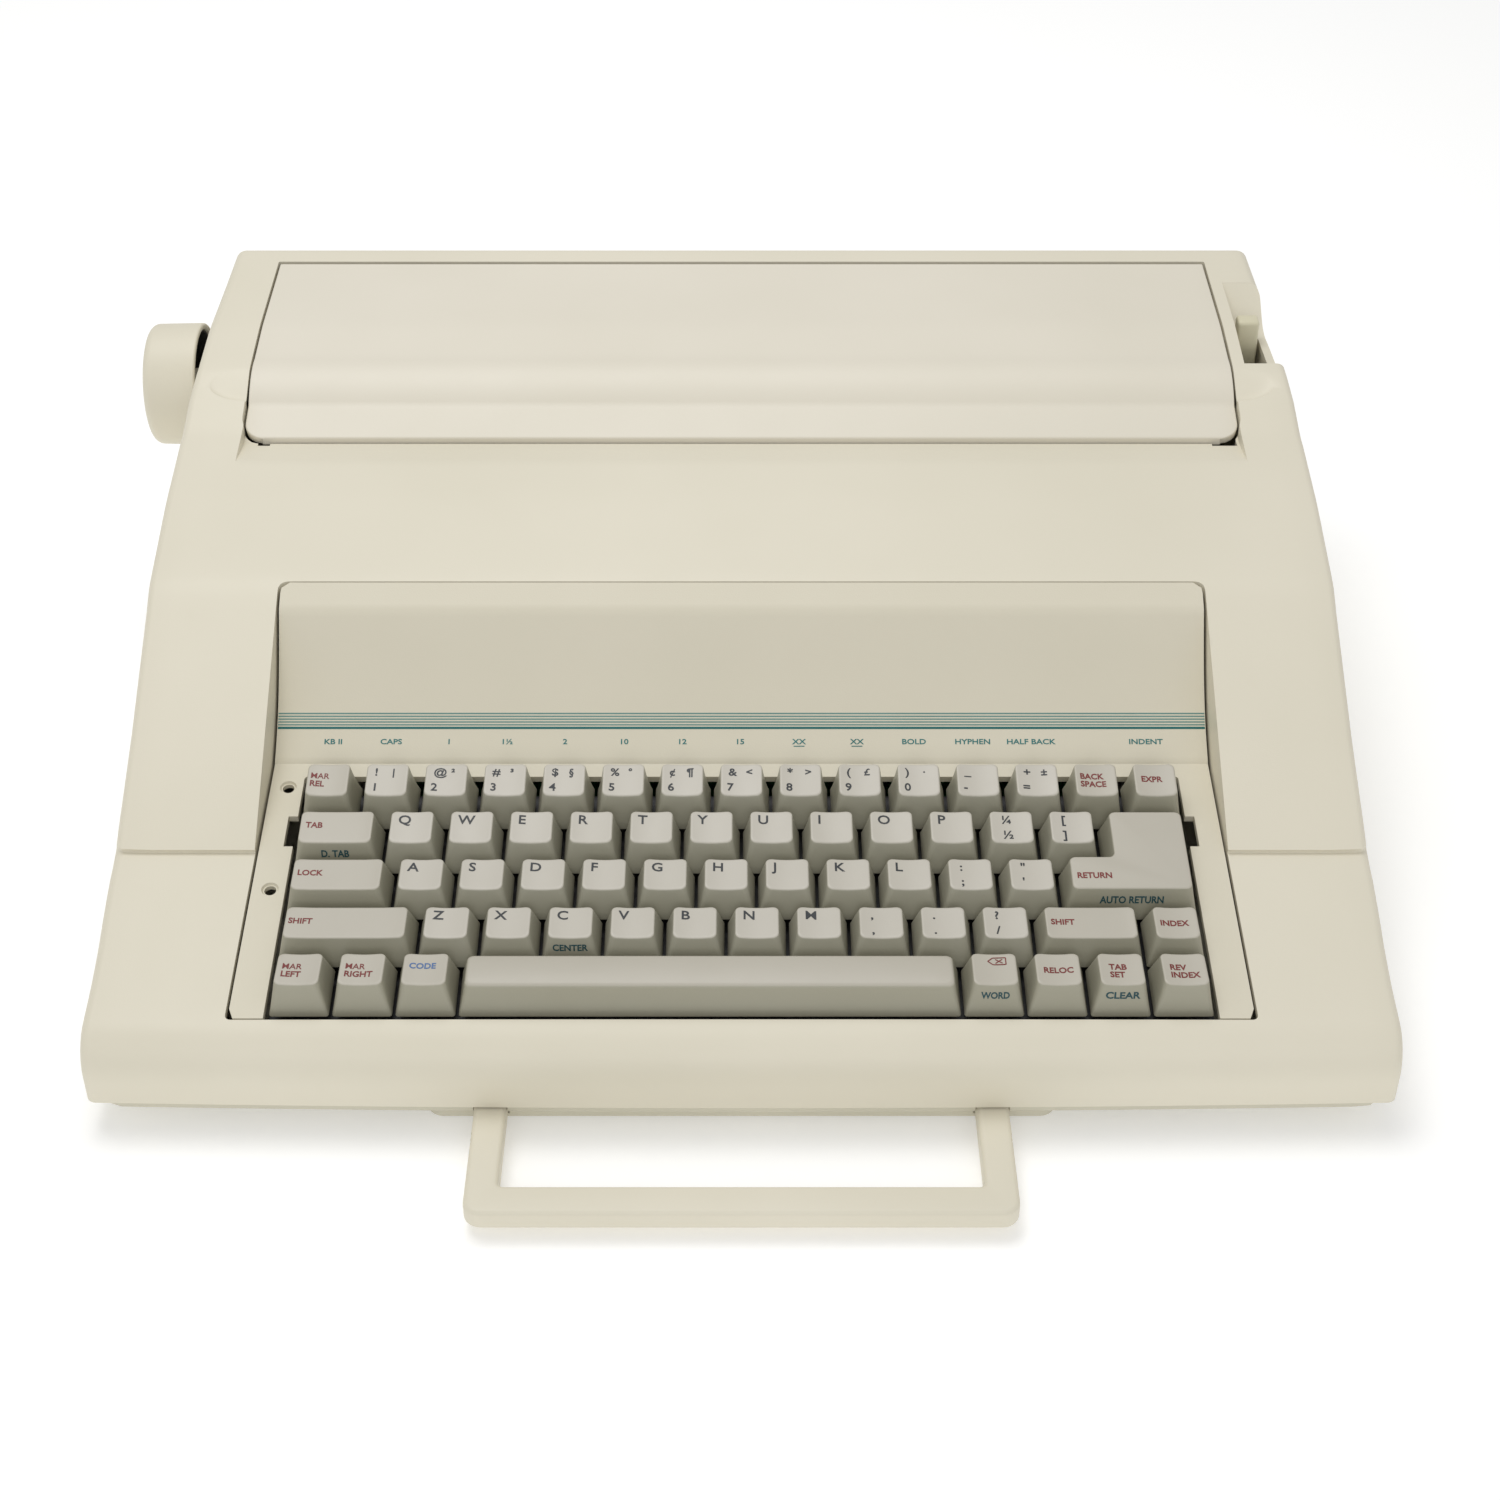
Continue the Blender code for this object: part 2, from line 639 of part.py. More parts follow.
foot_strip("front_foot_strip", FRONT_FOOT_Y)
foot_strip("rear_foot_strip", REAR_FOOT_Y)

# Carry handle
handle_outline = [
    (-arm_out, HANDLE_END_Y),
    *arc((-arm_out + HANDLE_ROUND, HANDLE_FRONT_Y + HANDLE_ROUND), HANDLE_ROUND, 180, 270, 3),
    *arc((arm_out - HANDLE_ROUND, HANDLE_FRONT_Y + HANDLE_ROUND), HANDLE_ROUND, 270, 360, 3),
    (arm_out, HANDLE_END_Y),
    (arm_in, HANDLE_END_Y),
    (arm_in, HANDLE_FRONT_Y + HANDLE_GRIP),
    (-arm_in, HANDLE_FRONT_Y + HANDLE_GRIP),
    (-arm_in, HANDLE_END_Y),
]
prism("carry_handle", handle_outline, HANDLE_BOTTOM, HANDLE_TOP, "Z", "case")

# Platen, its shaft, knob and gear on one axis
axle = (PLATEN_Y, PLATEN_HEIGHT)
half_platen = PLATEN_LENGTH / 2
turned(
    "platen_roller",
    [(PLATEN_RADIUS, half_platen), (PLATEN_RADIUS, -half_platen), (SHAFT_RADIUS + FIT, -half_platen),
     (SHAFT_RADIUS + FIT, half_platen)],
    axle,
    "rubber",
)
shaft_left = KNOB_OUTER_X + KNOB_WALL + SEAM_GAP
rod("platen_shaft", SHAFT_RADIUS, shaft_left, SHAFT_RIGHT_X, "X", axle, "steel")
bore = SHAFT_RADIUS + FIT
knob_facet = KNOB_ROUND * (1 - math.sqrt(0.5))
turned(
    "platen_knob",
    [
        (0, KNOB_OUTER_X + KNOB_WALL),
        (bore, KNOB_OUTER_X + KNOB_WALL),
        (bore, KNOB_INNER_X - KNOB_WALL),
        (KNOB_HUB, KNOB_INNER_X - KNOB_WALL),
        (KNOB_HUB, KNOB_OUTER_X + KNOB_FLOOR),
        (KNOB_RADIUS - KNOB_WALL, KNOB_OUTER_X + KNOB_FLOOR),
        (KNOB_RADIUS - KNOB_WALL, KNOB_INNER_X),
        (KNOB_RADIUS, KNOB_INNER_X),
        (KNOB_RADIUS, KNOB_OUTER_X + KNOB_ROUND),
        (KNOB_RADIUS - knob_facet, KNOB_OUTER_X + knob_facet),
        (KNOB_RADIUS - KNOB_ROUND, KNOB_OUTER_X),
        (0, KNOB_OUTER_X),
    ],
    axle,
    "case",
)


def gear_outline(teeth, centre, first_tooth):
    """Straight-sided teeth on a round blank, as (Y, Z) points; first_tooth is a tooth's direction in radians."""
    pitch_radius = GEAR_MODULE * teeth / 2
    tip = pitch_radius + GEAR_MODULE * TOOTH_ADDENDUM
    root = pitch_radius - GEAR_MODULE * TOOTH_DEDENDUM
    step = 2 * math.pi / teeth
    points = []
    for tooth in range(teeth):
        middle = first_tooth + tooth * step
        for radius, offset in ((root, -TOOTH_FOOT), (tip, -TOOTH_TOP), (tip, TOOTH_TOP), (root, TOOTH_FOOT)):
            angle = middle + offset * step
            points.append((centre[0] + radius * math.cos(angle), centre[1] + radius * math.sin(angle)))
    return points


mesh_distance = GEAR_MODULE * (GEAR_TEETH + PINION_TEETH) / 2 + GEAR_BACKLASH
mesh_direction = math.radians(225)
pinion_centre = (
    PLATEN_Y + mesh_distance * math.cos(mesh_direction),
    PLATEN_HEIGHT + mesh_distance * math.sin(mesh_direction),
)
gear = prism(
    "platen_gear",
    gear_outline(GEAR_TEETH, axle, mesh_direction),
    GEAR_X,
    GEAR_X + GEAR_WIDTH,
    "X",
    "white",
)
cut(gear, rod("gear_bore", bore, GEAR_X - GEAR_WIDTH, GEAR_X + 2 * GEAR_WIDTH, "X", axle, cutter=True))
pinion_tooth = mesh_direction + math.pi + math.pi / PINION_TEETH
pinion = prism(
    "line_feed_pinion",
    gear_outline(PINION_TEETH, pinion_centre, pinion_tooth),
    GEAR_X,
    GEAR_X + GEAR_WIDTH,
    "X",
    "white",
)
motor_shaft = SHAFT_RADIUS / 2
motor_radius = mesh_distance - PLATEN_RADIUS - MOTOR_CLEARANCE
cut(pinion, rod("pinion_bore", motor_shaft + FIT, GEAR_X - GEAR_WIDTH, GEAR_X + 2 * GEAR_WIDTH, "X",
                pinion_centre, cutter=True, steps=SMALL_STEPS))
line_feed_motor = rod(
    "line_feed_motor", motor_radius, PLATE_X - FIT - MOTOR_LENGTH, PLATE_X - FIT, "X", pinion_centre, "steel"
)
join(line_feed_motor, rod("motor_spindle", motor_shaft, PLATE_X - MOTOR_LENGTH / 2, GEAR_X + GEAR_WIDTH, "X",
                          pinion_centre, cutter=True, steps=SMALL_STEPS))
rod(
    "pressure_roller", PRESSURE_RADIUS, -PRESSURE_LENGTH / 2, PRESSURE_LENGTH / 2, "X",
    (PLATEN_Y + FIT, PLATEN_HEIGHT - PLATEN_RADIUS - PRESSURE_RADIUS - FIT), "rubber", steps=16,
)

# Side plates and rails
plate_foot = TRAY_BOTTOM + TRAY_FLOOR + FIT
plate_outline = [
    (PLATE_FRONT_Y, plate_foot),
    (PLATE_REAR_Y, plate_foot),
    (PLATE_REAR_Y, PLATE_SHOULDER),
    (PLATEN_Y + PLATE_HEAD_HALF, PLATEN_HEIGHT + PLATE_HEAD_HEIGHT),
    (PLATEN_Y - PLATE_HEAD_HALF, PLATEN_HEIGHT + PLATE_HEAD_HEIGHT),
    (BROW[0], PLATE_SHOULDER),
    (PLATE_FRONT_Y, FRONT_RAIL_HEIGHT_OVER + RAIL_HEIGHT),
]


def side_plate(name, side):
    low_x, high_x = sorted((side * PLATE_X, side * (PLATE_X + PLATE_THICKNESS)))
    plate = prism(name, plate_outline, low_x, high_x, "X", "steel")
    hole = rod(name + "_bearing", bore, low_x - CHEEK, high_x + CHEEK, "X", axle, cutter=True)
    return cut(plate, hole)


side_plate("left_side_plate", -1)
right_plate = side_plate("right_side_plate", 1)
cut(right_plate, rod("spindle_hole", motor_shaft + FIT, PLATE_X - CHEEK, PLATE_X + 2 * CHEEK, "X", pinion_centre,
                     cutter=True, steps=SMALL_STEPS))
join(right_plate, rod("lever_pin", LEVER_PIN_RADIUS, PLATE_X + PLATE_THICKNESS / 2, LEVER_X + LEVER_WIDTH / 2, "X",
                      LEVER_PIVOT, cutter=True, steps=SMALL_STEPS))
rail_end = PLATE_X - FIT
rod("front_rail", RAIL_RADIUS, -rail_end, rail_end, "X", (FRONT_RAIL_Y, RAIL_HEIGHT), "steel")
rod("rear_rail", RAIL_RADIUS, -rail_end, rail_end, "X", (REAR_RAIL_Y, RAIL_HEIGHT), "steel")

# Paper release lever
lever = block(
    "paper_release_lever",
    (LEVER_X - LEVER_WIDTH / 2, LEVER_Y - LEVER_DEPTH / 2, LEVER_PIVOT[1] - 2 * LEVER_PIN_RADIUS),
    (LEVER_X + LEVER_WIDTH / 2, LEVER_Y + LEVER_DEPTH / 2, LEVER_TOP),
    "case",
)
lever_boss = rod("lever_boss", 2 * LEVER_PIN_RADIUS + CHEEK, LEVER_X - LEVER_WIDTH / 2, LEVER_X + LEVER_WIDTH / 2, "X",
                 LEVER_PIVOT, cutter=True, steps=16)
lever_bore = rod("lever_bore", LEVER_PIN_RADIUS + FIT, LEVER_X - LEVER_WIDTH, LEVER_X + LEVER_WIDTH, "X", LEVER_PIVOT,
                 cutter=True, steps=SMALL_STEPS)
join(lever, lever_boss)
cut(lever, lever_bore)

# Carriage: a channel on the two rails, with the wheel motor, wheel, hammer and ribbon cassette
half_carriage = CARRIAGE_WIDTH / 2
channel_outline = [
    (-half_carriage, CARRIAGE_BOTTOM),
    (half_carriage, CARRIAGE_BOTTOM),
    (half_carriage, CARRIAGE_TOP),
    (half_carriage - CHEEK, CARRIAGE_TOP),
    (half_carriage - CHEEK, CARRIAGE_FLOOR),
    (-half_carriage + CHEEK, CARRIAGE_FLOOR),
    (-half_carriage + CHEEK, CARRIAGE_TOP),
    (-half_carriage, CARRIAGE_TOP),
]
carriage = prism("carriage", channel_outline, CARRIAGE_FRONT_Y, CARRIAGE_REAR_Y, "Y", "black")
bridge_top = HAMMER_HEIGHT - HAMMER_SIZE[2] / 2 - FIT
bridge = block(
    "hammer_bridge",
    (-half_carriage, HAMMER_TIP_Y - HAMMER_SIZE[1], bridge_top - BRIDGE_HEIGHT),
    (half_carriage, HAMMER_TIP_Y - HAMMER_SIZE[1] / 2, bridge_top),
    cutter=True,
)
post_left = block(
    "bridge_post_left",
    (-half_carriage, HAMMER_TIP_Y - HAMMER_SIZE[1], CARRIAGE_TOP - CHEEK),
    (-half_carriage + CHEEK, HAMMER_TIP_Y - HAMMER_SIZE[1] / 2, bridge_top),
    cutter=True,
)
post_right = block(
    "bridge_post_right",
    (half_carriage - CHEEK, HAMMER_TIP_Y - HAMMER_SIZE[1], CARRIAGE_TOP - CHEEK),
    (half_carriage, HAMMER_TIP_Y - HAMMER_SIZE[1] / 2, bridge_top),
    cutter=True,
)
join(carriage, bridge, post_left, post_right)
for rail_y in (FRONT_RAIL_Y, REAR_RAIL_Y):
    rail_bore = rod(f"rail_bore_{rail_y:.3f}", RAIL_RADIUS + FIT, -half_carriage - CHEEK, half_carriage + CHEEK, "X",
                    (rail_y, RAIL_HEIGHT), cutter=True)
    cut(carriage, rail_bore)

wheel_motor = rod("print_wheel_motor", WHEEL_MOTOR_RADIUS, WHEEL_MOTOR_FRONT_Y, CARRIAGE_REAR_Y, "Y",
                  (0, WHEEL_HEIGHT), "steel")
cut(wheel_motor, rod("wheel_motor_bore", WHEEL_SHAFT_RADIUS + FIT, CARRIAGE_REAR_Y - 0.010, CARRIAGE_REAR_Y + CHEEK,
                     "Y", (0, WHEEL_HEIGHT), cutter=True, steps=SMALL_STEPS))
petal_outline = []
for petal in range(PETALS):
    for radius, offset in ((0.42, -0.5), (1.0, -0.16), (1.0, 0.16)):
        angle = 2 * math.pi * (petal + offset) / PETALS + math.pi / 2
        petal_outline.append(
            (WHEEL_RADIUS * radius * math.cos(angle), WHEEL_HEIGHT + WHEEL_RADIUS * radius * math.sin(angle))
        )
print_wheel = prism("print_wheel", petal_outline, WHEEL_Y, WHEEL_Y + WHEEL_THICKNESS, "Y", "black")
join(print_wheel, rod("wheel_spindle", WHEEL_SHAFT_RADIUS, CARRIAGE_REAR_Y - 0.008, WHEEL_Y + WHEEL_THICKNESS / 2,
                      "Y", (0, WHEEL_HEIGHT), cutter=True, steps=SMALL_STEPS))
block(
    "hammer",
    (-HAMMER_SIZE[0] / 2, HAMMER_TIP_Y - HAMMER_SIZE[1], HAMMER_HEIGHT - HAMMER_SIZE[2] / 2),
    (HAMMER_SIZE[0] / 2, HAMMER_TIP_Y, HAMMER_HEIGHT + HAMMER_SIZE[2] / 2),
    "steel",
)
half_cassette = CASSETTE_WIDTH / 2
cassette_outline = [
    (-half_cassette, CASSETTE_FRONT_Y),
    (half_cassette, CASSETTE_FRONT_Y),
    (half_cassette, CASSETTE_ARM_REAR_Y),
    (half_cassette - CASSETTE_ARM, CASSETTE_ARM_REAR_Y),
    (half_cassette - CASSETTE_ARM, CASSETTE_BODY_REAR_Y),
    (-half_cassette + CASSETTE_ARM, CASSETTE_BODY_REAR_Y),
    (-half_cassette + CASSETTE_ARM, CASSETTE_ARM_REAR_Y),
    (-half_cassette, CASSETTE_ARM_REAR_Y),
]
cassette_bottom = CARRIAGE_TOP + FIT
prism("ribbon_cassette", cassette_outline, cassette_bottom, cassette_bottom + CASSETTE_HEIGHT, "Z", "black")

# Belt drive
floor_top = TRAY_BOTTOM + TRAY_FLOOR
carriage_motor = rod("carriage_motor", CARRIAGE_MOTOR_RADIUS, floor_top + FIT, PULLEY_BOTTOM - FIT, "Z",
                     (-PULLEY_X, PULLEY_Y), "steel")
join(carriage_motor, rod("carriage_motor_spindle", IDLER_POST_RADIUS, floor_top + CHEEK, PULLEY_BOTTOM + PULLEY_WIDTH,
                         "Z", (-PULLEY_X, PULLEY_Y), cutter=True, steps=SMALL_STEPS))


def pulley(name, x):
    wheel = rod(name, PULLEY_RADIUS, PULLEY_BOTTOM, PULLEY_BOTTOM + PULLEY_WIDTH, "Z", (x, PULLEY_Y), "white")
    hole = rod(name + "_bore", IDLER_POST_RADIUS + FIT, PULLEY_BOTTOM - CHEEK, PULLEY_BOTTOM + PULLEY_WIDTH + CHEEK,
               "Z", (x, PULLEY_Y), cutter=True, steps=SMALL_STEPS)
    return cut(wheel, hole)


pulley("drive_pulley", -PULLEY_X)
pulley("idler_pulley", PULLEY_X)


def belt_loop(radius):
    left = arc((-PULLEY_X, PULLEY_Y), radius, 90, 270, 8)
    right = arc((PULLEY_X, PULLEY_Y), radius, -90, 90, 8)
    return left + right


belt_inner = PULLEY_RADIUS + FIT
belt_bottom = PULLEY_BOTTOM + (PULLEY_WIDTH - BELT_WIDTH) / 2
belt = prism("carriage_belt", belt_loop(belt_inner + BELT_THICKNESS), belt_bottom, belt_bottom + BELT_WIDTH, "Z",
             "rubber")
cut(belt, prism("belt_inside", belt_loop(belt_inner), belt_bottom - CHEEK, belt_bottom + BELT_WIDTH + CHEEK, "Z",
                cutter=True))

# Electrics
board = block(
    "main_board",
    (BOARD_X[0], BOARD_Y[0], BOARD_HEIGHT),
    (BOARD_X[1], BOARD_Y[1], BOARD_HEIGHT + BOARD_THICKNESS),
    "green",
)
for number, (x, y) in enumerate(CHIP_CENTRES):
    chip = block(
        f"chip_{number}",
        (x - CHIP[0] / 2, y - CHIP[1] / 2, BOARD_HEIGHT + BOARD_THICKNESS / 2),
        (x + CHIP[0] / 2, y + CHIP[1] / 2, BOARD_HEIGHT + BOARD_THICKNESS + CHIP[2]),
        cutter=True,
    )
    join(board, chip)
block(
    "power_transformer",
    (TRANSFORMER_X[0], TRANSFORMER_Y[0], floor_top + FIT),
    (TRANSFORMER_X[1], TRANSFORMER_Y[1], TRANSFORMER_TOP),
    "copper",
)
cord_gland = rod("cord_gland", GLAND_RADIUS, REAR_Y - 2 * CASE_WALL, REAR_Y + GLAND_OUT, "Y",
                 (GLAND_X, GLAND_HEIGHT), "black", steps=16)
join(cord_gland, rod("gland_flange", GLAND_FLANGE, REAR_Y + FIT, REAR_Y + CASE_WALL, "Y", (GLAND_X, GLAND_HEIGHT),
                     cutter=True, steps=16))

# Key frame under the caps
guide_top = -CAP_HEIGHT - GUIDE_DROP
key_frame = block(
    "key_frame",
    (-well_half, well_front_s, guide_top - GUIDE_THICKNESS),
    (well_half, well_rear_s, guide_top),
    "black",
    parent=KEYBOARD,
)


def cap_into(bm, left_u, width_u, row, rows=1, stems=1):
    """One key cap with its stems: a tapered block whose front top edge lies in the key plane."""
    left = (left_u - KEY_COLUMNS / 2) * KEY_PITCH + CAP_GAP / 2
    right = left + width_u * KEY_PITCH - CAP_GAP
    face_front = (2 - row) * KEY_PITCH
    front = face_front - CAP_FRONT_INSET
    rear = front + rows * KEY_PITCH - CAP_GAP
    verts = box_into(bm, (left, front, -CAP_HEIGHT), (right, rear, 0))
    for vert in verts:
        if vert.co.z > -CAP_HEIGHT / 2:
            vert.co.z += CAP_RISE[row]
            vert.co.x += CAP_SIDE_INSET if vert.co.x < (left + right) / 2 else -CAP_SIDE_INSET
            vert.co.y += CAP_FRONT_INSET if vert.co.y < (front + rear) / 2 else -CAP_REAR_INSET
    edges = {edge for vert in verts for edge in vert.link_edges}
    soft = [edge for edge in edges if max(v.co.z for v in edge.verts) > -CAP_HEIGHT / 2]
    bmesh.ops.bevel(bm, geom=soft, offset=CAP_BEVEL, segments=1, affect="EDGES", profile=0.5)
    middle = (front + rear) / 2
    centres = []
    for number in range(stems):
        centre = left + (right - left) * (number + 0.5) / stems
        centres.append((centre, middle))
    return centres


def stem_box(bm, centre, size, low, high):
    x, s = centre
    box_into(bm, (x - size / 2, s - size / 2, low), (x + size / 2, s + size / 2, high))


def key_node(name, caps, look):
    """One node from one cap, or from neighbouring caps joined by a bar under them."""
    bm = bmesh.new()
    centres = []
    for left_u, width_u, row, rows, stems in caps:
        centres += cap_into(bm, left_u, width_u, row, rows, stems)
    key = from_bmesh(name, bm, look, parent=KEYBOARD)
    helper = bmesh.new()
    for centre in centres:
        stem_box(helper, centre, STEM, -CAP_HEIGHT - STEM_LENGTH, -CAP_HEIGHT + WEB_HEIGHT / 2)
    join(key, from_bmesh(name + "_stems", helper, parent=KEYBOARD, cutter=True))
    if len(caps) > 1 and caps[0][2] == caps[-1][2]:
        web = block(
            name + "_web",
            (centres[0][0], centres[0][1] - WEB_DEPTH / 2, -CAP_HEIGHT + FIT),
            (centres[-1][0], centres[0][1] + WEB_DEPTH / 2, -CAP_HEIGHT + WEB_HEIGHT),
            parent=KEYBOARD,
            cutter=True,
        )
        join(key, web)
    return centres


SINGLE_KEYS = (
    ("margin_release_key", 0, 1, 0),
    ("backspace_key", 13, 1, 0),
    ("express_key", 14, 1, 0),
    ("tab_key", 0, 1.5, 1),
    ("lock_key", 0, 1.75, 2),
    ("shift_left_key", 0, 2.25, 3),
    ("shift_right_key", 12.25, 1.75, 3),
    ("index_key", 14, 1, 3),
    ("margin_left_key", 0, 1, 4),
    ("margin_right_key", 1, 1, 4),
    ("code_key", 2, 1, 4),
    ("correction_key", 11, 1, 4),
    ("relocate_key", 12, 1, 4),
    ("tab_set_key", 13, 1, 4),
    ("reverse_index_key", 14, 1, 4),
)
TYPING_BLOCKS = (
    ("number_keys_left", 1, 4, 0),
    ("number_keys_middle", 5, 4, 0),
    ("number_keys_right", 9, 4, 0),
    ("upper_keys_left", 1.5, 4, 1),
    ("upper_keys_middle", 5.5, 4, 1),
    ("upper_keys_right", 9.5, 4, 1),
    ("home_keys_left", 1.75, 4, 2),
    ("home_keys_middle", 5.75, 4, 2),
    ("home_keys_right", 9.75, 3, 2),
    ("lower_keys_left", 2.25, 5, 3),
    ("lower_keys_right", 7.25, 5, 3),
)
stem_centres = []
for name, left_u, width_u, row in SINGLE_KEYS:
    stem_centres += key_node(name, [(left_u, width_u, row, 1, 1)], "cap_grey")
for name, left_u, count, row in TYPING_BLOCKS:
    caps = [(left_u + i, 1, row, 1, 1) for i in range(count)]
    stem_centres += key_node(name, caps, "cap_light")
stem_centres += key_node("space_bar", [(3, 8, 4, 1, 3)], "cap_grey")
RETURN_PARTS = ((13.5, 1.5, 2, 2, 1), (12.75, 2.25, 2, 1, 1))
stem_centres += key_node("return_key", [RETURN_PARTS[0]], "cap_grey")
foot_bm = bmesh.new()
cap_into(foot_bm, *RETURN_PARTS[1])
join(bpy.data.objects["return_key"], from_bmesh("return_foot", foot_bm, parent=KEYBOARD, cutter=True))

guide_holes = bmesh.new()
for centre in stem_centres:
    stem_box(guide_holes, centre, STEM + 2 * GUIDE_CLEARANCE, guide_top - 2 * GUIDE_THICKNESS, guide_top + FIT)
cut(key_frame, from_bmesh("guide_holes", guide_holes, parent=KEYBOARD, cutter=True))
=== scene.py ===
import json
import math

import bmesh
import bpy
import numpy as np
from bpy.props import FloatProperty, FloatVectorProperty, PointerProperty
from bpy.types import Operator, Panel, PropertyGroup
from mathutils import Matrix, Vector


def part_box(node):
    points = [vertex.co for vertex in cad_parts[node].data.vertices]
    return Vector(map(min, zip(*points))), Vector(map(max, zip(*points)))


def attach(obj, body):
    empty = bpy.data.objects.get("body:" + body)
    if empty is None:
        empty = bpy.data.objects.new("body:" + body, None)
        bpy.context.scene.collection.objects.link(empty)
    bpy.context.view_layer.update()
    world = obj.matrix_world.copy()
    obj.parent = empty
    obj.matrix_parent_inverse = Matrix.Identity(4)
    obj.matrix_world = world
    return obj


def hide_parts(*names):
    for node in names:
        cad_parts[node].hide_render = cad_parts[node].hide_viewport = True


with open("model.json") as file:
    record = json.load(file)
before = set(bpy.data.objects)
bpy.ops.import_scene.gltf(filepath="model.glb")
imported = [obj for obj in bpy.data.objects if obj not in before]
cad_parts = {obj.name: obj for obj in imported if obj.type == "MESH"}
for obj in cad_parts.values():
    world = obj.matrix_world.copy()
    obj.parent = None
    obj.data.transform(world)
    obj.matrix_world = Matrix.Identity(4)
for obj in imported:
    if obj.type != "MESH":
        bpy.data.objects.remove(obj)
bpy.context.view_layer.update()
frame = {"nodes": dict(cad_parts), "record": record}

bl_info = {
    "name": "Portable typewriter finish",
    "version": (1, 0, 0),
    "blender": (4, 5, 0),
    "location": "3D Viewport > Sidebar > Typewriter",
    "description": "Moulded case, lid, keyboard, knob, lever and handle over the typewriter's frame",
    "category": "Object",
}

CASE_LOW, CASE_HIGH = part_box("top_case")
ORIGIN = np.array([(CASE_LOW.x + CASE_HIGH.x) / 2, CASE_LOW.y + 0.056, 0.0])
HALF_WIDTH = (CASE_HIGH.x - CASE_LOW.x) / 2
FRONT_Y = CASE_LOW.y - ORIGIN[1]
REAR_Y = CASE_HIGH.y - ORIGIN[1]
SEAM_Z = CASE_LOW.z
TOP_Z = CASE_HIGH.z
PRESS_AXIS = next(j for j in frame["record"]["behaviour"]["joints"] if j["name"] == "space_bar_press")["axis"]
KEY_SLOPE = math.atan2(PRESS_AXIS[1], -PRESS_AXIS[2])
KEY_PLANE_Z = 0.050
KEY_PITCH = 0.01905
DECK_DROP = 0.0088
ARM_END_Y = 0.024
PANEL_HEAD = (0.1075, 0.0930)
SLOPE_TOP = (0.150, 0.1010)
LID_LIP = (0.185, 0.1062)
LID_CREST_Y = 0.2200
LID_FOOT = (0.2000, 0.1089)
BROW = (0.214, 0.1165)
SHOULDER = (0.240, 0.1203)
LID_FRONT_Y = 0.185
LID_REAR_Y = 0.2860
OPENING_HALF = 0.1552
BAY_HALF = 0.1793
PLATEN_AXIS = (0.247, 0.092)
GLAND_AXIS = (0.120, 0.030)
LEVER_PIVOT = (0.256, 0.062)
IDLER_AXIS = (0.156, 0.150)
LIP_DROP = 0.0021
WELL_FRONT, WELL_REAR = -0.0425, 0.0562
SCREWS = ((-0.1485, 0.0515), (-0.1485, 0.0075))
LABEL_LINE = 0.0062
LETTER_BOLD, WIDE_LETTER_BOLD = 0.00008, 0.00003
BELOW_DECK, ABOVE = 0.085, 0.140
BEYOND = 0.02


def half_width(node):
    """Half of a node's width in the frame."""
    low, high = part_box(node)
    return (high.x - low.x) / 2


LID_HALF = half_width("top_cover")


def metres(name, description, default):
    """A length in metres, for a settings group."""
    return FloatProperty(name=name, description=description, default=default, unit="LENGTH")


def paint(name, description, default):
    """A colour, for a settings group."""
    return FloatVectorProperty(name=name, description=description, default=default, size=3, subtype="COLOR")


class CaseSettings(PropertyGroup):
    wall: metres("Wall", "Thickness of the case wall", 0.0025)
    front_roll: metres("Front roll", "Radius along the front edge", 0.0145)
    rear_roll: metres("Rear roll", "Radius along the rear edge", 0.004)
    side_roll: metres("Side roll", "Radius of the side edges", 0.0030)
    arm_step: metres("Arm step", "Height of the arms over the deck", 0.0016)
    ramp_depth: metres("Ramp depth", "Depth of the sunk ramp before the lid", 0.0044)
    scoop_depth: metres("Scoop depth", "Depth of the finger scoops beside the lid", 0.0025)
    bow: metres("Front bow", "How far the front bulges at its middle", 0.0024)
    colour: paint("Colour", "Case plastic", (0.745, 0.70, 0.575))
    tray_colour: paint("Tray colour", "Base tray plastic", (0.60, 0.57, 0.46))


class LidSettings(PropertyGroup):
    thickness: metres("Thickness", "Thickness of the lid", 0.0030)
    step_drop: metres("Step drop", "Height of the rolled step", 0.0085)
    corner: metres("Corner", "Radius of the front corners", 0.0070)
    colour: paint("Colour", "Lid plastic", (0.75, 0.705, 0.60))


class SurroundSettings(PropertyGroup):
    thickness: metres("Thickness", "Thickness of the surround", 0.0024)
    sag: metres("Sag", "Hollow of the control panel", 0.0045)
    colour: paint("Colour", "Surround plastic", (0.70, 0.655, 0.53))
    line_colour: paint("Line colour", "Thin printed lines", (0.13, 0.27, 0.25))
    bar_colour: paint("Bar colour", "Bold printed line", (0.012, 0.14, 0.135))
    label_colour: paint("Label colour", "Panel labels", (0.02, 0.17, 0.17))


class KeySettings(PropertyGroup):
    dish: metres("Dish", "Hollow across a key top", 0.0007)
    top_radius: metres("Top edge", "Radius of the top edge", 0.0007)
    light_colour: paint("Typing keys", "Plastic of the typing keys", (0.545, 0.515, 0.45))
    grey_colour: paint("Function keys", "Plastic of the function keys", (0.505, 0.475, 0.405))
    # Painted shade: colour factors that darken the sides of the key caps, standing in for the shade between
    # the caps.
    painted_side_shade: paint("Painted side shade", "How much darker the sides of the caps are", (0.74, 0.755, 0.69))
    dark_ink: paint("Dark ink", "Letters and figures", (0.03, 0.035, 0.04))
    red_ink: paint("Red ink", "Function legends", (0.19, 0.022, 0.018))
    blue_ink: paint("Blue ink", "Code legend", (0.08, 0.17, 0.38))
    teal_ink: paint("Teal ink", "Front legends", (0.015, 0.07, 0.085))


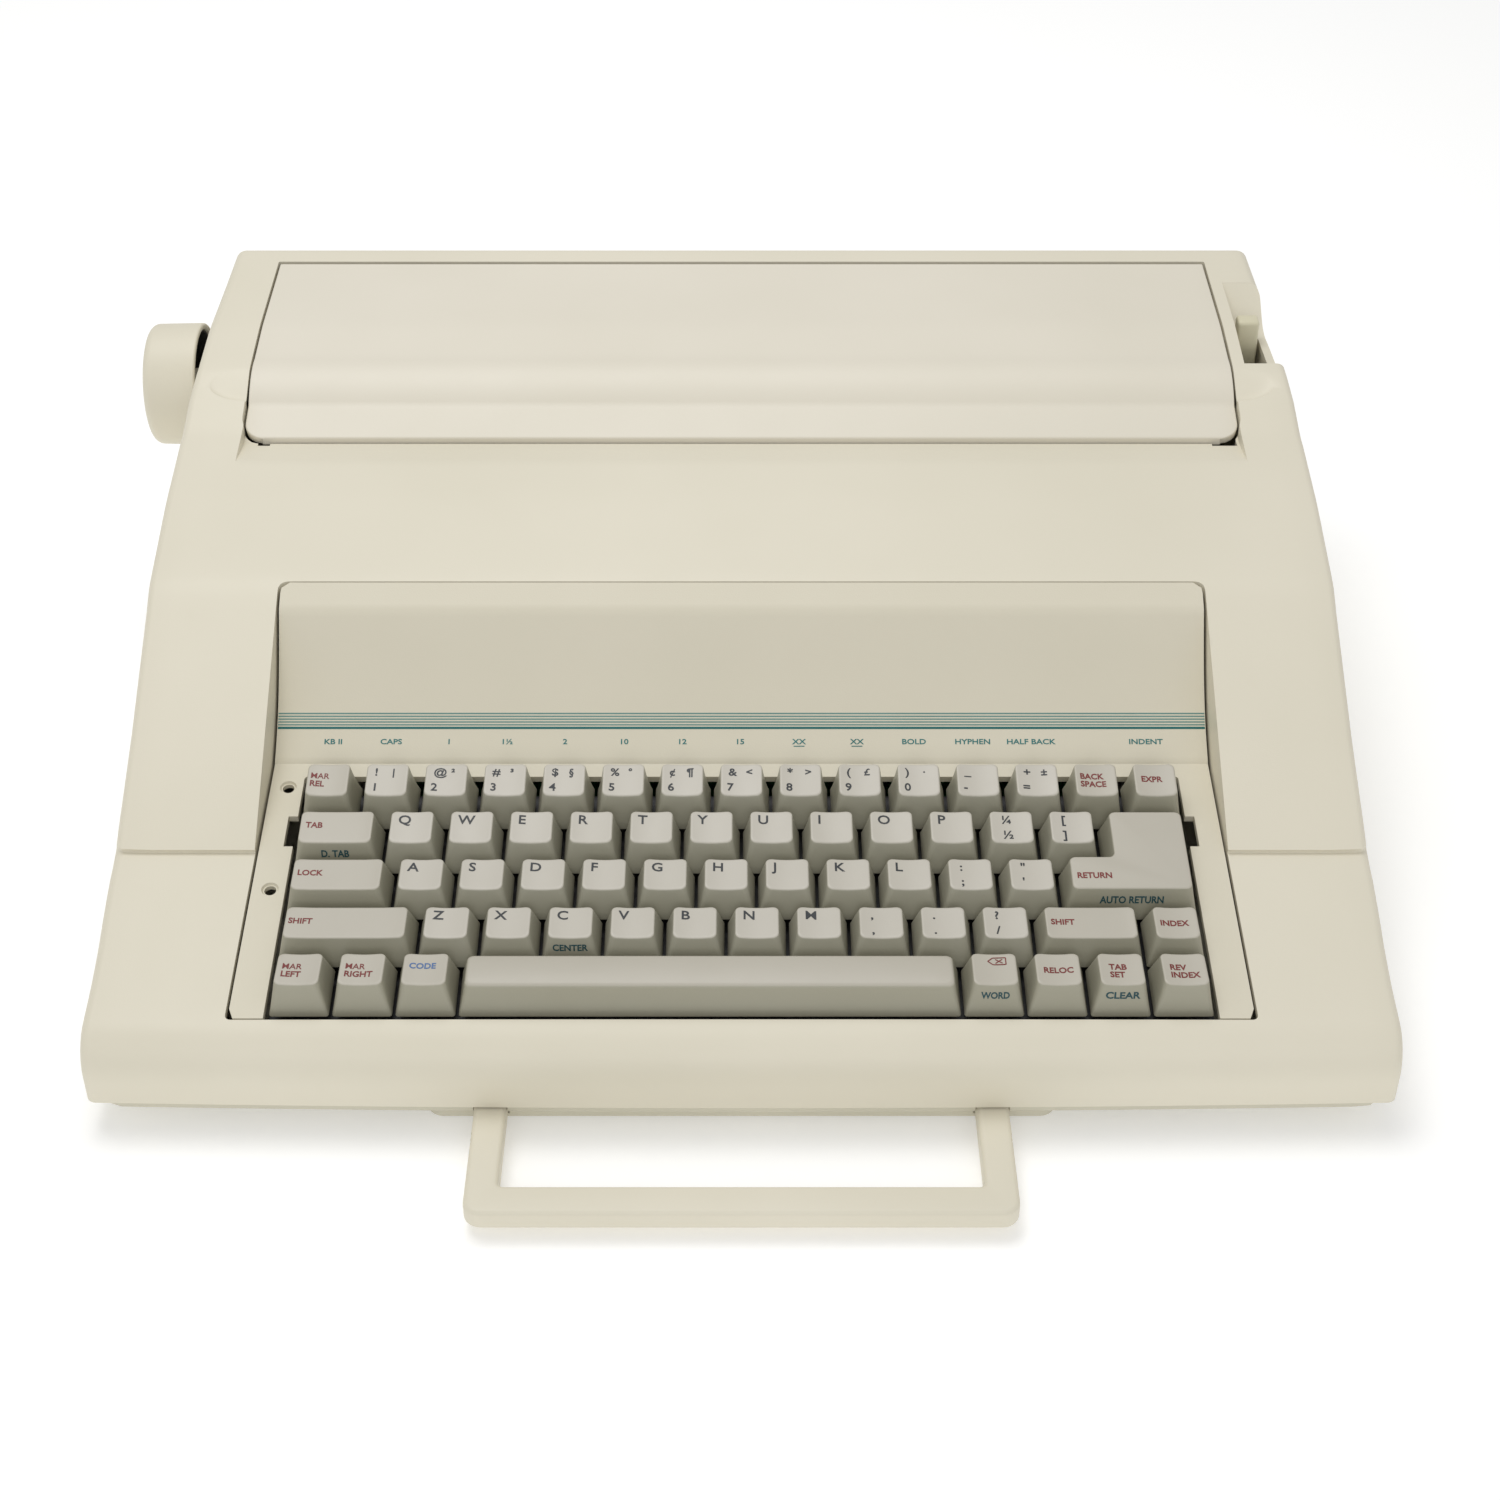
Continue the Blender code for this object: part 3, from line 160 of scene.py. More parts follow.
class StageSettings(PropertyGroup):
    floor_colour: paint("Floor", "Floor colour", (0.93, 0.93, 0.93))
    pitch: FloatProperty(name="Camera pitch", description="Downward angle of the camera",
                         default=math.radians(37), subtype="ANGLE")
    key_power: FloatProperty(name="Key light", description="Power of the main softbox in watts", default=9.5)
    world_strength: FloatProperty(name="Surround light", description="Strength of the white surround",
                                  default=0.52)


# --- arrays -----------------------------------------------------------------


def machine(x, y, z):
    """Stack of coordinates measured from the case's middle and the home row, moved into the frame."""
    return np.stack(np.broadcast_arrays(x, y, z), axis=-1) + ORIGIN


def deck_z(y):
    """Height of the deck: a plane parallel to the key plane, lower by the deck drop."""
    return KEY_PLANE_Z - DECK_DROP + np.asarray(y) * math.tan(KEY_SLOPE)


def key_plane(x, s, n):
    """Points given along the keyboard (x), up its slope (s) and square to it (n), turned into the machine."""
    s, n = np.asarray(s), np.asarray(n)
    y = s * math.cos(KEY_SLOPE) - n * math.sin(KEY_SLOPE)
    z = KEY_PLANE_Z + s * math.sin(KEY_SLOPE) + n * math.cos(KEY_SLOPE)
    return machine(x, y, z)


def filleted(corners, radii, steps=8, closed=False):
    """Straight runs between the corners, each corner replaced by a tangent arc of its radius."""
    corners = np.asarray(corners, float)
    count = len(corners)
    rows = []
    for i in range(count):
        radius = radii[i] if np.ndim(radii) else radii
        end = not closed and i in (0, count - 1)
        if end or radius <= 0:
            rows.append(corners[i : i + 1])
            continue
        into = corners[i] - corners[i - 1]
        out = corners[(i + 1) % count] - corners[i]
        into, out = into / np.hypot(*into), out / np.hypot(*out)
        turn = math.atan2(into[0] * out[1] - into[1] * out[0], into @ out)
        start = corners[i] - into * radius * math.tan(abs(turn) / 2)
        arm = np.array([into[1], -into[0]]) * radius * math.copysign(1, turn)
        angles = np.linspace(0, turn, steps + 1)
        arc = np.stack([arm[0] * np.cos(angles) - arm[1] * np.sin(angles),
                        arm[0] * np.sin(angles) + arm[1] * np.cos(angles)], axis=1)
        rows.append(start - arm + arc)
    return np.concatenate(rows)


def spaced(path, step):
    """The path with every run split evenly into parts no longer than the step."""
    lengths = np.hypot(*np.diff(path, axis=0).T)
    counts = np.maximum(np.ceil(lengths / step).astype(int), 1)
    run = np.repeat(np.arange(len(counts)), counts)
    part = (np.arange(counts.sum()) - np.repeat(np.cumsum(counts) - counts, counts)) / counts[run]
    inner = path[run] * (1 - part[:, None]) + path[run + 1] * part[:, None]
    return np.concatenate([inner, path[-1:]])


def resampled(path, count):
    """The path redrawn with so many points at even distances along it."""
    along = np.concatenate([[0], np.cumsum(np.hypot(*np.diff(path, axis=0).T))])
    at = np.linspace(0, along[-1], count)
    return np.stack([np.interp(at, along, path[:, k]) for k in range(path.shape[1])], axis=1)


def normals(path):
    """Unit normals to the left of a path: the mean of the runs beside each point, turned a quarter."""
    runs = np.diff(path, axis=0)
    runs = runs / np.maximum(np.hypot(*runs.T), 1e-9)[:, None]
    mean = np.concatenate([runs[:1], runs[:-1] + runs[1:], runs[-1:]])
    mean = mean / np.hypot(*mean.T)[:, None]
    return np.stack([-mean[:, 1], mean[:, 0]], axis=1)


def smooth(x, low, high):
    """A step from 0 at low to 1 at high, flat at both ends: 3t squared less 2t cubed."""
    t = np.clip((np.asarray(x) - low) / (high - low), 0, 1)
    return t * t * (3 - 2 * t)


def quads(rows, cols, start=0, close_rows=False, close_cols=False):
    """Faces of a grid of points stored row by row, from the index start."""
    r = np.arange(rows if close_rows else rows - 1)
    c = np.arange(cols if close_cols else cols - 1)
    r, c = np.meshgrid(r, c, indexing="ij")
    r1, c1 = (r + 1) % rows, (c + 1) % cols
    faces = np.stack([r * cols + c, r * cols + c1, r1 * cols + c1, r1 * cols + c], axis=-1)
    return faces.reshape(-1, 4) + start


# --- meshes -----------------------------------------------------------------


def mesh_of(name, points, faces, merge=2e-6):
    """A mesh from points and faces, with coincident points merged and its faces turned outwards."""
    mesh = bpy.data.meshes.new(name)
    listed = [face if isinstance(face, (list, tuple)) else face.tolist() for face in faces]
    mesh.from_pydata(np.asarray(points, float).reshape(-1, 3), [], listed)
    bm = bmesh.new()
    bm.from_mesh(mesh)
    bmesh.ops.remove_doubles(bm, verts=bm.verts, dist=merge)
    bmesh.ops.dissolve_degenerate(bm, edges=bm.edges, dist=merge)
    bmesh.ops.recalc_face_normals(bm, faces=bm.faces)
    bm.to_mesh(mesh)
    bm.free()
    mesh.validate()
    return mesh


def piece(name, mesh, material, body, replaces=(), angle=32.0):
    """An object from the mesh, smooth except along edges sharper than the angle, riding on its body."""
    obj = bpy.data.objects.new(name, mesh)
    bpy.context.scene.collection.objects.link(obj)
    mesh.materials.clear()
    mesh.materials.append(material)
    mesh.shade_smooth()
    mesh.set_sharp_from_angle(angle=math.radians(angle))
    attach(obj, body)
    if replaces:
        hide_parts(*replaces)
    return obj


def stacked(rings, caps=True):
    """Points and faces of closed rings joined in order, the first and last filled flat."""
    rings = np.asarray(rings)
    rows, cols = rings.shape[:2]
    faces = quads(rows, cols, close_cols=True).tolist()
    if caps:
        faces += [list(range(cols))[::-1], list(range((rows - 1) * cols, rows * cols))]
    return rings.reshape(-1, 3), faces


def slab(outer, inner):
    """Points and faces of a sheet with thickness: two grids of one shape joined along their four sides."""
    rows, cols = outer.shape[:2]
    count = rows * cols
    index = np.arange(count).reshape(rows, cols)
    loop = np.concatenate([index[0, :-1], index[:-1, -1], index[-1, :0:-1], index[:0:-1, 0]])
    after = np.roll(loop, -1)
    rim = np.stack([loop, loop + count, after + count, after], axis=1)
    top = quads(rows, cols)
    faces = np.concatenate([top, top[:, ::-1] + count, rim])
    return np.concatenate([outer.reshape(-1, 3), inner.reshape(-1, 3)]), faces


def prism(name, outline, low, high, axis="Z", tilt=False):
    """A solid: a closed outline carried from low to high along an axis of the machine or of the key plane."""
    outline = np.asarray(outline)
    a, b = outline[:, 0], outline[:, 1]
    place = key_plane if tilt else machine
    if axis == "Z":
        rings = [place(a, b, np.full(len(a), h)) for h in (low, high)]
    elif axis == "X":
        rings = [place(np.full(len(a), h), a, b) for h in (low, high)]
    else:
        rings = [place(a, np.full(len(a), h), b) for h in (low, high)]
    return mesh_of(name, *stacked(rings))


def ring(radius, steps=32):
    """A circle about zero."""
    angles = np.linspace(0, 2 * math.pi, steps, endpoint=False)
    return np.stack([radius * np.cos(angles), radius * np.sin(angles)], axis=1)


def box_outline(x0, y0, x1, y1):
    return np.array([(x0, y0), (x1, y0), (x1, y1), (x0, y1)])


def carved(mesh, others, operation="DIFFERENCE"):
    """The mesh with the other meshes cut away from it or joined to it, one after another."""
    target = bpy.data.objects.new("work", mesh)
    bpy.context.scene.collection.objects.link(target)
    tools = []
    for number, other in enumerate(others):
        tool = bpy.data.objects.new(f"tool_{number}", other)
        bpy.context.scene.collection.objects.link(tool)
        tools.append(tool)
        modifier = target.modifiers.new(f"cut_{number}", "BOOLEAN")
        modifier.operation = operation
        modifier.solver = "MANIFOLD"
        modifier.object = tool
    bpy.context.view_layer.update()
    graph = bpy.context.evaluated_depsgraph_get()
    result = bpy.data.meshes.new_from_object(target.evaluated_get(graph))
    for obj in [target, *tools]:
        bpy.data.objects.remove(obj, do_unlink=True)
    if not len(result.polygons):
        raise RuntimeError("a cut removed everything")
    result.name = mesh.name + "_cut"
    return result


# --- materials --------------------------------------------------------------

ROUGH_SPREAD = 0.06


def material(name, colour, roughness=0.5, metallic=0.0, grain=0.0, grain_size=1500.0, mottle=0.04, patch=18.0,
             coat=0.0, specular=0.5, dirt=0.0, painted_side_shade=None, glow=0.0):
    """A surface whose colour drifts slowly over the piece and whose grain is a fine bump on Object space; a
    side shade multiplies painted shade into the colour where the point attribute 'side' is high.
    """
    made = bpy.data.materials.get(name)
    if made is not None:
        return made
    made = bpy.data.materials.new(name)
    made.use_nodes = True
    nodes, links = made.node_tree.nodes, made.node_tree.links
    shader = nodes["Principled BSDF"]
    shader.inputs["Metallic"].default_value = metallic
    shader.inputs["Coat Weight"].default_value = coat
    shader.inputs["Specular IOR Level"].default_value = specular
    where = nodes.new("ShaderNodeTexCoord")

    def noise(scale, detail=3.0, rough=0.55):
        texture = nodes.new("ShaderNodeTexNoise")
        texture.inputs["Scale"].default_value = scale
        texture.inputs["Detail"].default_value = detail
        texture.inputs["Roughness"].default_value = rough
        links.new(where.outputs["Object"], texture.inputs["Vector"])
        return texture.outputs["Fac"]

    ramp = nodes.new("ShaderNodeValToRGB")
    base = np.array(colour)
    ramp.color_ramp.elements[0].position = 0.30
    ramp.color_ramp.elements[1].position = 0.72
    ramp.color_ramp.elements[0].color = (*np.clip(base * (1 - mottle) * np.array([1, 1, 0.985]), 0, 1), 1)
    ramp.color_ramp.elements[1].color = (*np.clip(base * (1 + mottle * 0.6), 0, 1), 1)
    links.new(noise(patch), ramp.inputs["Fac"])
    tint = ramp.outputs["Color"]
    if dirt:
        speck = nodes.new("ShaderNodeMapRange")
        speck.inputs["From Min"].default_value = 0.62
        speck.inputs["From Max"].default_value = 0.78
        speck.inputs["To Max"].default_value = dirt
        links.new(noise(patch * 9, 6.0, 0.7), speck.inputs["Value"])
        mix = nodes.new("ShaderNodeMix")
        mix.data_type = "RGBA"
        mix.inputs["B"].default_value = (*(base * np.array([0.78, 0.74, 0.64])), 1)
        links.new(speck.outputs["Result"], mix.inputs["Factor"])
        links.new(tint, mix.inputs["A"])
        tint = mix.outputs["Result"]
    # Painted shade: the colour is multiplied by the side shade on the sides of the key caps, by the 'side'
    # attribute.
    if painted_side_shade:
        side = nodes.new("ShaderNodeAttribute")
        side.attribute_name = "side"
        painted_shade_mix = nodes.new("ShaderNodeMix")
        painted_shade_mix.data_type = "RGBA"
        painted_shade_mix.blend_type = "MULTIPLY"
        painted_shade_mix.inputs["B"].default_value = (*painted_side_shade, 1)
        links.new(side.outputs["Fac"], painted_shade_mix.inputs["Factor"])
        links.new(tint, painted_shade_mix.inputs["A"])
        tint = painted_shade_mix.outputs["Result"]
    if glow:
        shader.inputs["Emission Color"].default_value = (1, 1, 1, 1)
        shader.inputs["Emission Strength"].default_value = glow
    links.new(tint, shader.inputs["Base Color"])
    spread = nodes.new("ShaderNodeMapRange")
    spread.inputs["To Min"].default_value = max(roughness - ROUGH_SPREAD, 0.02)
    spread.inputs["To Max"].default_value = min(roughness + ROUGH_SPREAD, 1.0)
    links.new(noise(patch * 6, 4.0), spread.inputs["Value"])
    links.new(spread.outputs["Result"], shader.inputs["Roughness"])
    if grain:
        bump = nodes.new("ShaderNodeBump")
        bump.inputs["Strength"].default_value = grain
        bump.inputs["Distance"].default_value = 0.0002
        links.new(noise(grain_size, 2.0, 0.6), bump.inputs["Height"])
        links.new(bump.outputs["Normal"], shader.inputs["Normal"])
    return made


def settings():
    return bpy.context.scene.typewriter


# --- case -------------------------------------------------------------------


def case_width_at(y):
    """Half width of the case: widest at the arms and a little narrower to the front and the rear."""
    along = [-0.056, -0.030, -0.015, 0.0, 0.015, 0.030, 0.060, 0.100, 0.140, 0.180, 0.200, 0.215, 0.245,
             0.275, 0.300]
    half = [0.1981, 0.1983, 0.1988, 0.1997, 0.2005, 0.2004, 0.1996, 0.1992, 0.2000, 0.2005, 0.2001, 0.1989,
            0.1987, 0.1979, 0.1974]
    return np.interp(y, along, half) * HALF_WIDTH / 0.2005


def case_profile(s):
    """Side line of the case from the front seam to the rear one, its top alone, and the rows of each wall.

    The wall rows are even in height, the rolls are quarter arcs, and the top follows filleted straight runs.
    """
    roll = s.front_roll
    centre = np.array([FRONT_Y + roll, deck_z(FRONT_Y + roll) - roll])
    wall_rows = 6
    front = np.stack([np.full(wall_rows, FRONT_Y), np.linspace(SEAM_Z, centre[1], wall_rows + 1)[:-1]],
                     axis=1)
    angles = np.linspace(math.pi, math.pi / 2 + KEY_SLOPE, 9)
    arc = centre + roll * np.stack([np.cos(angles), np.sin(angles)], axis=1)
    rear_centre = np.array([REAR_Y - s.rear_roll, TOP_Z - s.rear_roll])
    step = s.arm_step
    top = filleted(
        [arc[-1], (ARM_END_Y, deck_z(ARM_END_Y)), (PANEL_HEAD[0], PANEL_HEAD[1] - step), SLOPE_TOP, LID_LIP,
         BROW, SHOULDER, (rear_centre[0], TOP_Z)],
        [0, 0, 0.030, 0.060, 0.030, 0.030, 0.060, 0],
        steps=12,
    )
    stops = np.concatenate([
        np.linspace(arc[-1][0], 0.0225, 14)[1:],
        [0.0232, 0.02365, 0.0238, 0.0239, 0.0240, 0.02415, 0.0244, 0.0252],
        np.linspace(0.028, 0.1075, 20), np.linspace(0.110, 0.166, 16), np.linspace(0.169, 0.1845, 12),
        np.linspace(0.1865, 0.1965, 8), np.linspace(0.1975, 0.2145, 28), np.linspace(0.218, 0.2940, 20),
    ])
    over = np.stack([stops, np.interp(stops, top[:, 0], top[:, 1])], axis=1)
    angles = np.linspace(math.pi / 2, 0, 8)
    rear_arc = rear_centre + s.rear_roll * np.stack([np.cos(angles), np.sin(angles)], axis=1)
    rear = np.stack([np.full(wall_rows, REAR_Y), np.linspace(rear_centre[1], SEAM_Z, wall_rows + 1)[1:]],
                    axis=1)
    return np.concatenate([front, arc, over, rear_arc, rear]), top, wall_rows


def case_skin(s, inset):
    """One skin of the case as points, faces and its open lower loop.

    A point is the side line at its row, moved inwards by the inset, run straight across to the side edges,
    where it turns down through a quarter arc: the fall is r(1 - sin a) and the step in from the side is
    r(1 - cos a). The arms and the sunk ramp are added along the line's normal. Near the sides the arms' ends
    bend back by c - sqrt(c^2 - p^2), p being how far a point is into the corner c, and the front bows by
    b(x / w)^2.
    """
    line, top, wall_rows = case_profile(s)
    out = normals(line)
    out[: wall_rows + 1] = (-1, 0)
    out[-wall_rows - 1 :] = (1, 0)
    y, z = line[:, 0], line[:, 1]
    half = case_width_at(y)
    half[:wall_rows] = half[wall_rows]
    half[-wall_rows:] = half[-wall_rows - 1]
    side = s.side_roll + 0.001 * smooth(y, 0.20, 0.26)
    side = np.where(np.arange(len(y)) < wall_rows, side[wall_rows], side) - inset
    turn = np.linspace(0, math.pi / 2, 7)
    inner_half = np.concatenate([
        np.linspace(0, 0.150, 13), np.linspace(0.153, 0.176, 8), [0.1784, 0.1786],
        np.linspace(0.1795, 0.1880, 10),
    ])
    across = np.concatenate([-inner_half[:0:-1], inner_half])
    x_left = -(half[:, None] - inset - side[:, None] * (1 - np.cos(turn)))
    x = np.concatenate([x_left, np.broadcast_to(across, (len(y), len(across))), -x_left[:, ::-1]], axis=1)
    lift = np.concatenate([np.sin(turn), np.ones(len(across)), np.sin(turn[::-1])])
    reach = np.abs(x)
    fade = np.clip((y - PANEL_HEAD[0]) / (SLOPE_TOP[0] - PANEL_HEAD[0]), 0, 1)
    arm = s.arm_step * smooth(y, 0.02372, 0.02408) * (1 - fade)
    ramp_half = 0.1785 + inset * 0.6
    ramp = s.ramp_depth * np.clip((y - 0.1690 - inset * 0.4) / 0.0155, 0, 1) * (y < 0.20)
    height = arm[:, None] - ramp[:, None] * (reach < ramp_half)
    corner = 0.0045
    past = np.clip(reach - (half[:, None] - corner), 0, corner * 0.97)
    bend = (corner - np.sqrt(corner**2 - past**2)) * np.exp(-(((y[:, None] - ARM_END_Y) / 0.014) ** 2))
    shifted = y[:, None] + bend
    climb = np.interp(shifted, top[:, 0], top[:, 1]) - np.interp(y, top[:, 0], top[:, 1])[:, None]
    bow = s.bow * (reach / HALF_WIDTH) ** 2 * (1 - smooth(y, -0.056, 0.010))[:, None]
    drop = -(inset + side[:, None] * (1 - lift)) + height * lift
    grid = machine(x, shifted + bow + out[:, :1] * drop, z[:, None] + climb + out[:, 1:] * drop)
    rows, cols = grid.shape[:2]
    parts, faces, count = [grid.reshape(-1, 3)], [quads(rows, cols)], rows * cols
    levels = np.linspace(0, 1, wall_rows + 1)
    loops = []
    for column in (0, cols - 1):
        edge = grid[wall_rows : rows - wall_rows, column]
        wall = np.repeat(edge[:, None], wall_rows + 1, axis=1)
        wall[:, :, 2] = SEAM_Z + (edge[:, None, 2] - SEAM_Z) * levels
        parts.append(wall.reshape(-1, 3))
        faces.append(quads(len(edge), wall_rows + 1, count))
        loops.append(count + np.arange(len(edge)) * (wall_rows + 1))
        count += wall[..., 0].size
    loop = np.concatenate([np.arange(cols), loops[1], (rows - 1) * cols + np.arange(cols)[::-1],
                           loops[0][::-1]])
    return np.concatenate(parts), np.concatenate(faces), loop


def finger_scoop(s, side):
    """Cutter for the shallow scoop beside the lid: rings of an ellipse under the top line.

    Its depth is D((1 - v) / 2)^1.3 (1 - r^6): r runs from the middle to the rim and v from front to rear.
    """
    top = case_profile(s)[1]
    angles = np.linspace(0, 2 * math.pi, 64, endpoint=False)
    radius = np.array([1.0, 1.0, 0.97, 0.93, 0.88, 0.8, 0.7, 0.55, 0.4, 0.25, 0.12, 0.02])[:, None]
    x = side * BAY_HALF + 0.0138 * radius * np.cos(angles) * side
    v = radius * np.sin(angles)
    y = 0.2065 + 0.0074 * v
    depth = s.scoop_depth * ((1 - v) / 2) ** 1.3 * (1 - radius**6)
    z = np.interp(y, top[:, 0], top[:, 1]) - depth + 0.00003 * (radius > 0.999)
    z[0] = ABOVE
    return mesh_of("finger_scoop", *stacked(machine(x, y, z)))


def recess_outline():
    """Side line of the lever recess: a steep rear wall that sweeps into a flat floor."""
    floor, rear, front = 0.1090, 0.2725, 0.2168
    corners = [(front, ABOVE), (front, floor), (0.2560, floor), (rear, 0.1225), (rear + 0.002, ABOVE)]
    return filleted(corners, [0, 0.0008, 0.016, 0.004, 0])


class TYPEWRITER_OT_case(Operator):
    """Builds the moulded top case: two skins joined at the seam, arm walls, recess liners and openings"""

    bl_idname = "typewriter.case"
    bl_label = "Case"

    def execute(self, context):
        s = settings().case
        outer, outer_faces, outer_loop = case_skin(s, 0.0)
        inner, inner_faces, inner_loop = case_skin(s, s.wall)
        shift = len(outer)
        after, inner_after = np.roll(outer_loop, -1), np.roll(inner_loop, -1) + shift
        rim = np.stack([outer_loop, inner_loop + shift, inner_after, after], axis=1)
        points = np.concatenate([outer, inner])
        faces = np.concatenate([outer_faces, inner_faces[:, ::-1] + shift, rim])
        shell = mesh_of("case_shell", points, faces)

        arm = [(0.1120, 0.0915), (0.1075, 0.0925), (0.0243, deck_z(0.024) + 0.0012),
               (0.0243, deck_z(0.024) - 0.006), (0.063, deck_z(0.063) - 0.009), (0.112, 0.080)]
        low, high = OPENING_HALF - 0.0006, OPENING_HALF + 0.0024
        walls = [prism(f"arm_wall_{k}", arm, *span, axis="X")
                 for k, span in enumerate(((-high, -low), (low, high)))]
        liner_side = HALF_WIDTH - 0.0036
        liner = prism("liner", box_outline(0.1815, 0.2140, liner_side, 0.2750), 0.1066, 0.1148)
        liner_rear = prism("liner_rear", box_outline(0.1815, 0.2580, liner_side, 0.2758), 0.1100, 0.1196)
        shell = carved(shell, [*walls, liner, liner_rear], "UNION")

        opening = filleted(box_outline(-OPENING_HALF, -0.0423, OPENING_HALF, PANEL_HEAD[0] + 0.0007),
                           [0.0018, 0.0018, 0.0032, 0.0032], steps=6, closed=True)
        bay = filleted(box_outline(-BAY_HALF, LID_FRONT_Y - 0.0008, BAY_HALF, LID_REAR_Y + 0.0020),
                       [0.0078, 0.0078, 0.0006, 0.0006], steps=8, closed=True)
        cutters = [
            finger_scoop(s, -1), finger_scoop(s, 1),
            prism("opening", opening, 0.020, ABOVE),
            prism("bay", bay, BELOW_DECK, ABOVE),
            prism("lever_recess", recess_outline(), 0.1838, HALF_WIDTH + BEYOND, axis="X"),
            prism("lever_slot", box_outline(0.1858, 0.2310, 0.1957, 0.2536), BELOW_DECK, ABOVE),
            prism("notch_left", box_outline(-0.1732, 0.1826, -0.1688, 0.1900), BELOW_DECK, ABOVE),
            prism("notch_right", box_outline(0.1685, 0.1826, 0.1775, 0.1900), BELOW_DECK, ABOVE),
            prism("shaft_hole", ring(0.0046) + PLATEN_AXIS, -HALF_WIDTH - BEYOND, -0.185, axis="X"),
            prism("gland_hole", ring(0.0054) + GLAND_AXIS, REAR_Y - 0.010, REAR_Y + 0.010, axis="Y"),
        ]
        shell = carved(shell, cutters)
        look = material("case_moulding", s.colour, roughness=0.48, grain=0.16, grain_size=2200, mottle=0.030,
                        patch=9.0, dirt=0.05)
        piece("case_shell", shell, look, "case", ("top_case",), angle=30)
        return {"FINISHED"}


class TYPEWRITER_OT_tray(Operator):
    """Builds the base tray: rounded rim, handle housing and channels, two pads and the idler post"""

    bl_idname = "typewriter.tray"
    bl_label = "Base tray"

    def execute(self, context):
        s = settings().case
        bottom, top = 0.0075, SEAM_Z - 0.0004
        half = HALF_WIDTH - 0.0020
        front, rear = FRONT_Y + 0.0012, REAR_Y - 0.0020

        def outline(inset, radius):
            corners = box_outline(-half + inset, front + inset, half - inset, rear - inset)
            shape = spaced(filleted(corners, [radius - inset] * 4, steps=8, closed=True), 0.012)
            shape = resampled(np.concatenate([shape, shape[:1]]), 241)[:-1]
            bow = s.bow * (np.abs(shape[:, 0]) / HALF_WIDTH) ** 2 * (1 - smooth(shape[:, 1], -0.056, 0.010))
            taper = case_width_at(shape[:, 1]) / HALF_WIDTH
            return np.stack([shape[:, 0] * taper, shape[:, 1] + bow], axis=1)

        turn = np.linspace(0, math.pi / 2, 5)
        round_ = 0.0016
        levels = [(round_ * (1 - math.sin(a)), bottom + round_ * (1 - math.cos(a))) for a in turn]
        rings = [machine(*outline(inset, 0.008).T, z) for inset, z in levels]
        rings += [machine(*outline(inset, 0.008).T, z) for inset, z in
                  ((0, top - 0.0003), (0.0003, top), (0.0024, top), (0.0024, bottom + 0.0024))]
        body = mesh_of("tray_shell", *stacked(rings))
        housing = filleted(box_outline(-0.0960, FRONT_Y + 0.0055, 0.0960, 0.0140), [0.005] * 4, steps=5,
                           closed=True)
        rings = [machine(*housing.T, z) for z in (0.0022, 0.0130)]
        block = mesh_of("housing", *stacked(rings))
        pad = filleted(box_outline(-0.006, FRONT_Y + 0.0050, 0.006, FRONT_Y + 0.020), [0.002] * 4, 4, True)
        feet = [prism(f"pad_{k}", pad + (x, 0), 0.0062, 0.0090) for k, x in enumerate((-0.124, 0.124))]
        post = prism("idler_post", ring(0.0025, 16) + IDLER_AXIS, 0.0090, 0.0420)
        body = carved(body, [block, *feet, post], "UNION")
        arm_out = half_width("carry_handle")
        spans = ((-arm_out - 0.0003, -arm_out + 0.0101), (arm_out - 0.0101, arm_out + 0.0003))
        body = carved(body, [prism(f"channel_{k}", box_outline(a, FRONT_Y - BEYOND, b, 0.0075), 0.0034,
                                   0.0109)
                             for k, (a, b) in enumerate(spans)])
        look = material("tray_moulding", s.tray_colour, roughness=0.55, grain=0.2, grain_size=1800,
                        mottle=0.05, patch=12.0, dirt=0.15)
        piece("tray_shell", body, look, "case", ("base_tray",), angle=30)
        return {"FINISHED"}


# --- lid --------------------------------------------------------------------


def lid_line(s):
    """Side line of the lid's top: straight lip, a roll that falls as t^2.2 from the crest, and two flats."""
    slope = (SHOULDER[1] - BROW[1]) / (SHOULDER[0] - BROW[0])
    crest = BROW[1] + slope * (LID_CREST_Y - BROW[0])
    back = (TOP_Z - SHOULDER[1]) / (REAR_Y - 0.004 - SHOULDER[0])
    part = np.linspace(1, 0, 19)
    roll_y = LID_CREST_Y - (LID_CREST_Y - LID_FOOT[0]) * part
    roll_z = crest - s.step_drop * part**2.2
    lip_y = np.linspace(LID_FRONT_Y, LID_FOOT[0], 9)[:-1]
    lip_z = np.interp(lip_y, [LID_FRONT_Y, LID_FOOT[0]], [LID_LIP[1] - LIP_DROP, crest - s.step_drop])
    rear_y = np.linspace(LID_CREST_Y, LID_REAR_Y, 22)[1:]
    rear_z = np.interp(rear_y, [LID_CREST_Y, SHOULDER[0], LID_REAR_Y],
                       [crest, SHOULDER[1], SHOULDER[1] + back * (LID_REAR_Y - SHOULDER[0])])
    return np.stack([np.concatenate([lip_y, roll_y, rear_y]), np.concatenate([lip_z, roll_z, rear_z])],
                    axis=1)


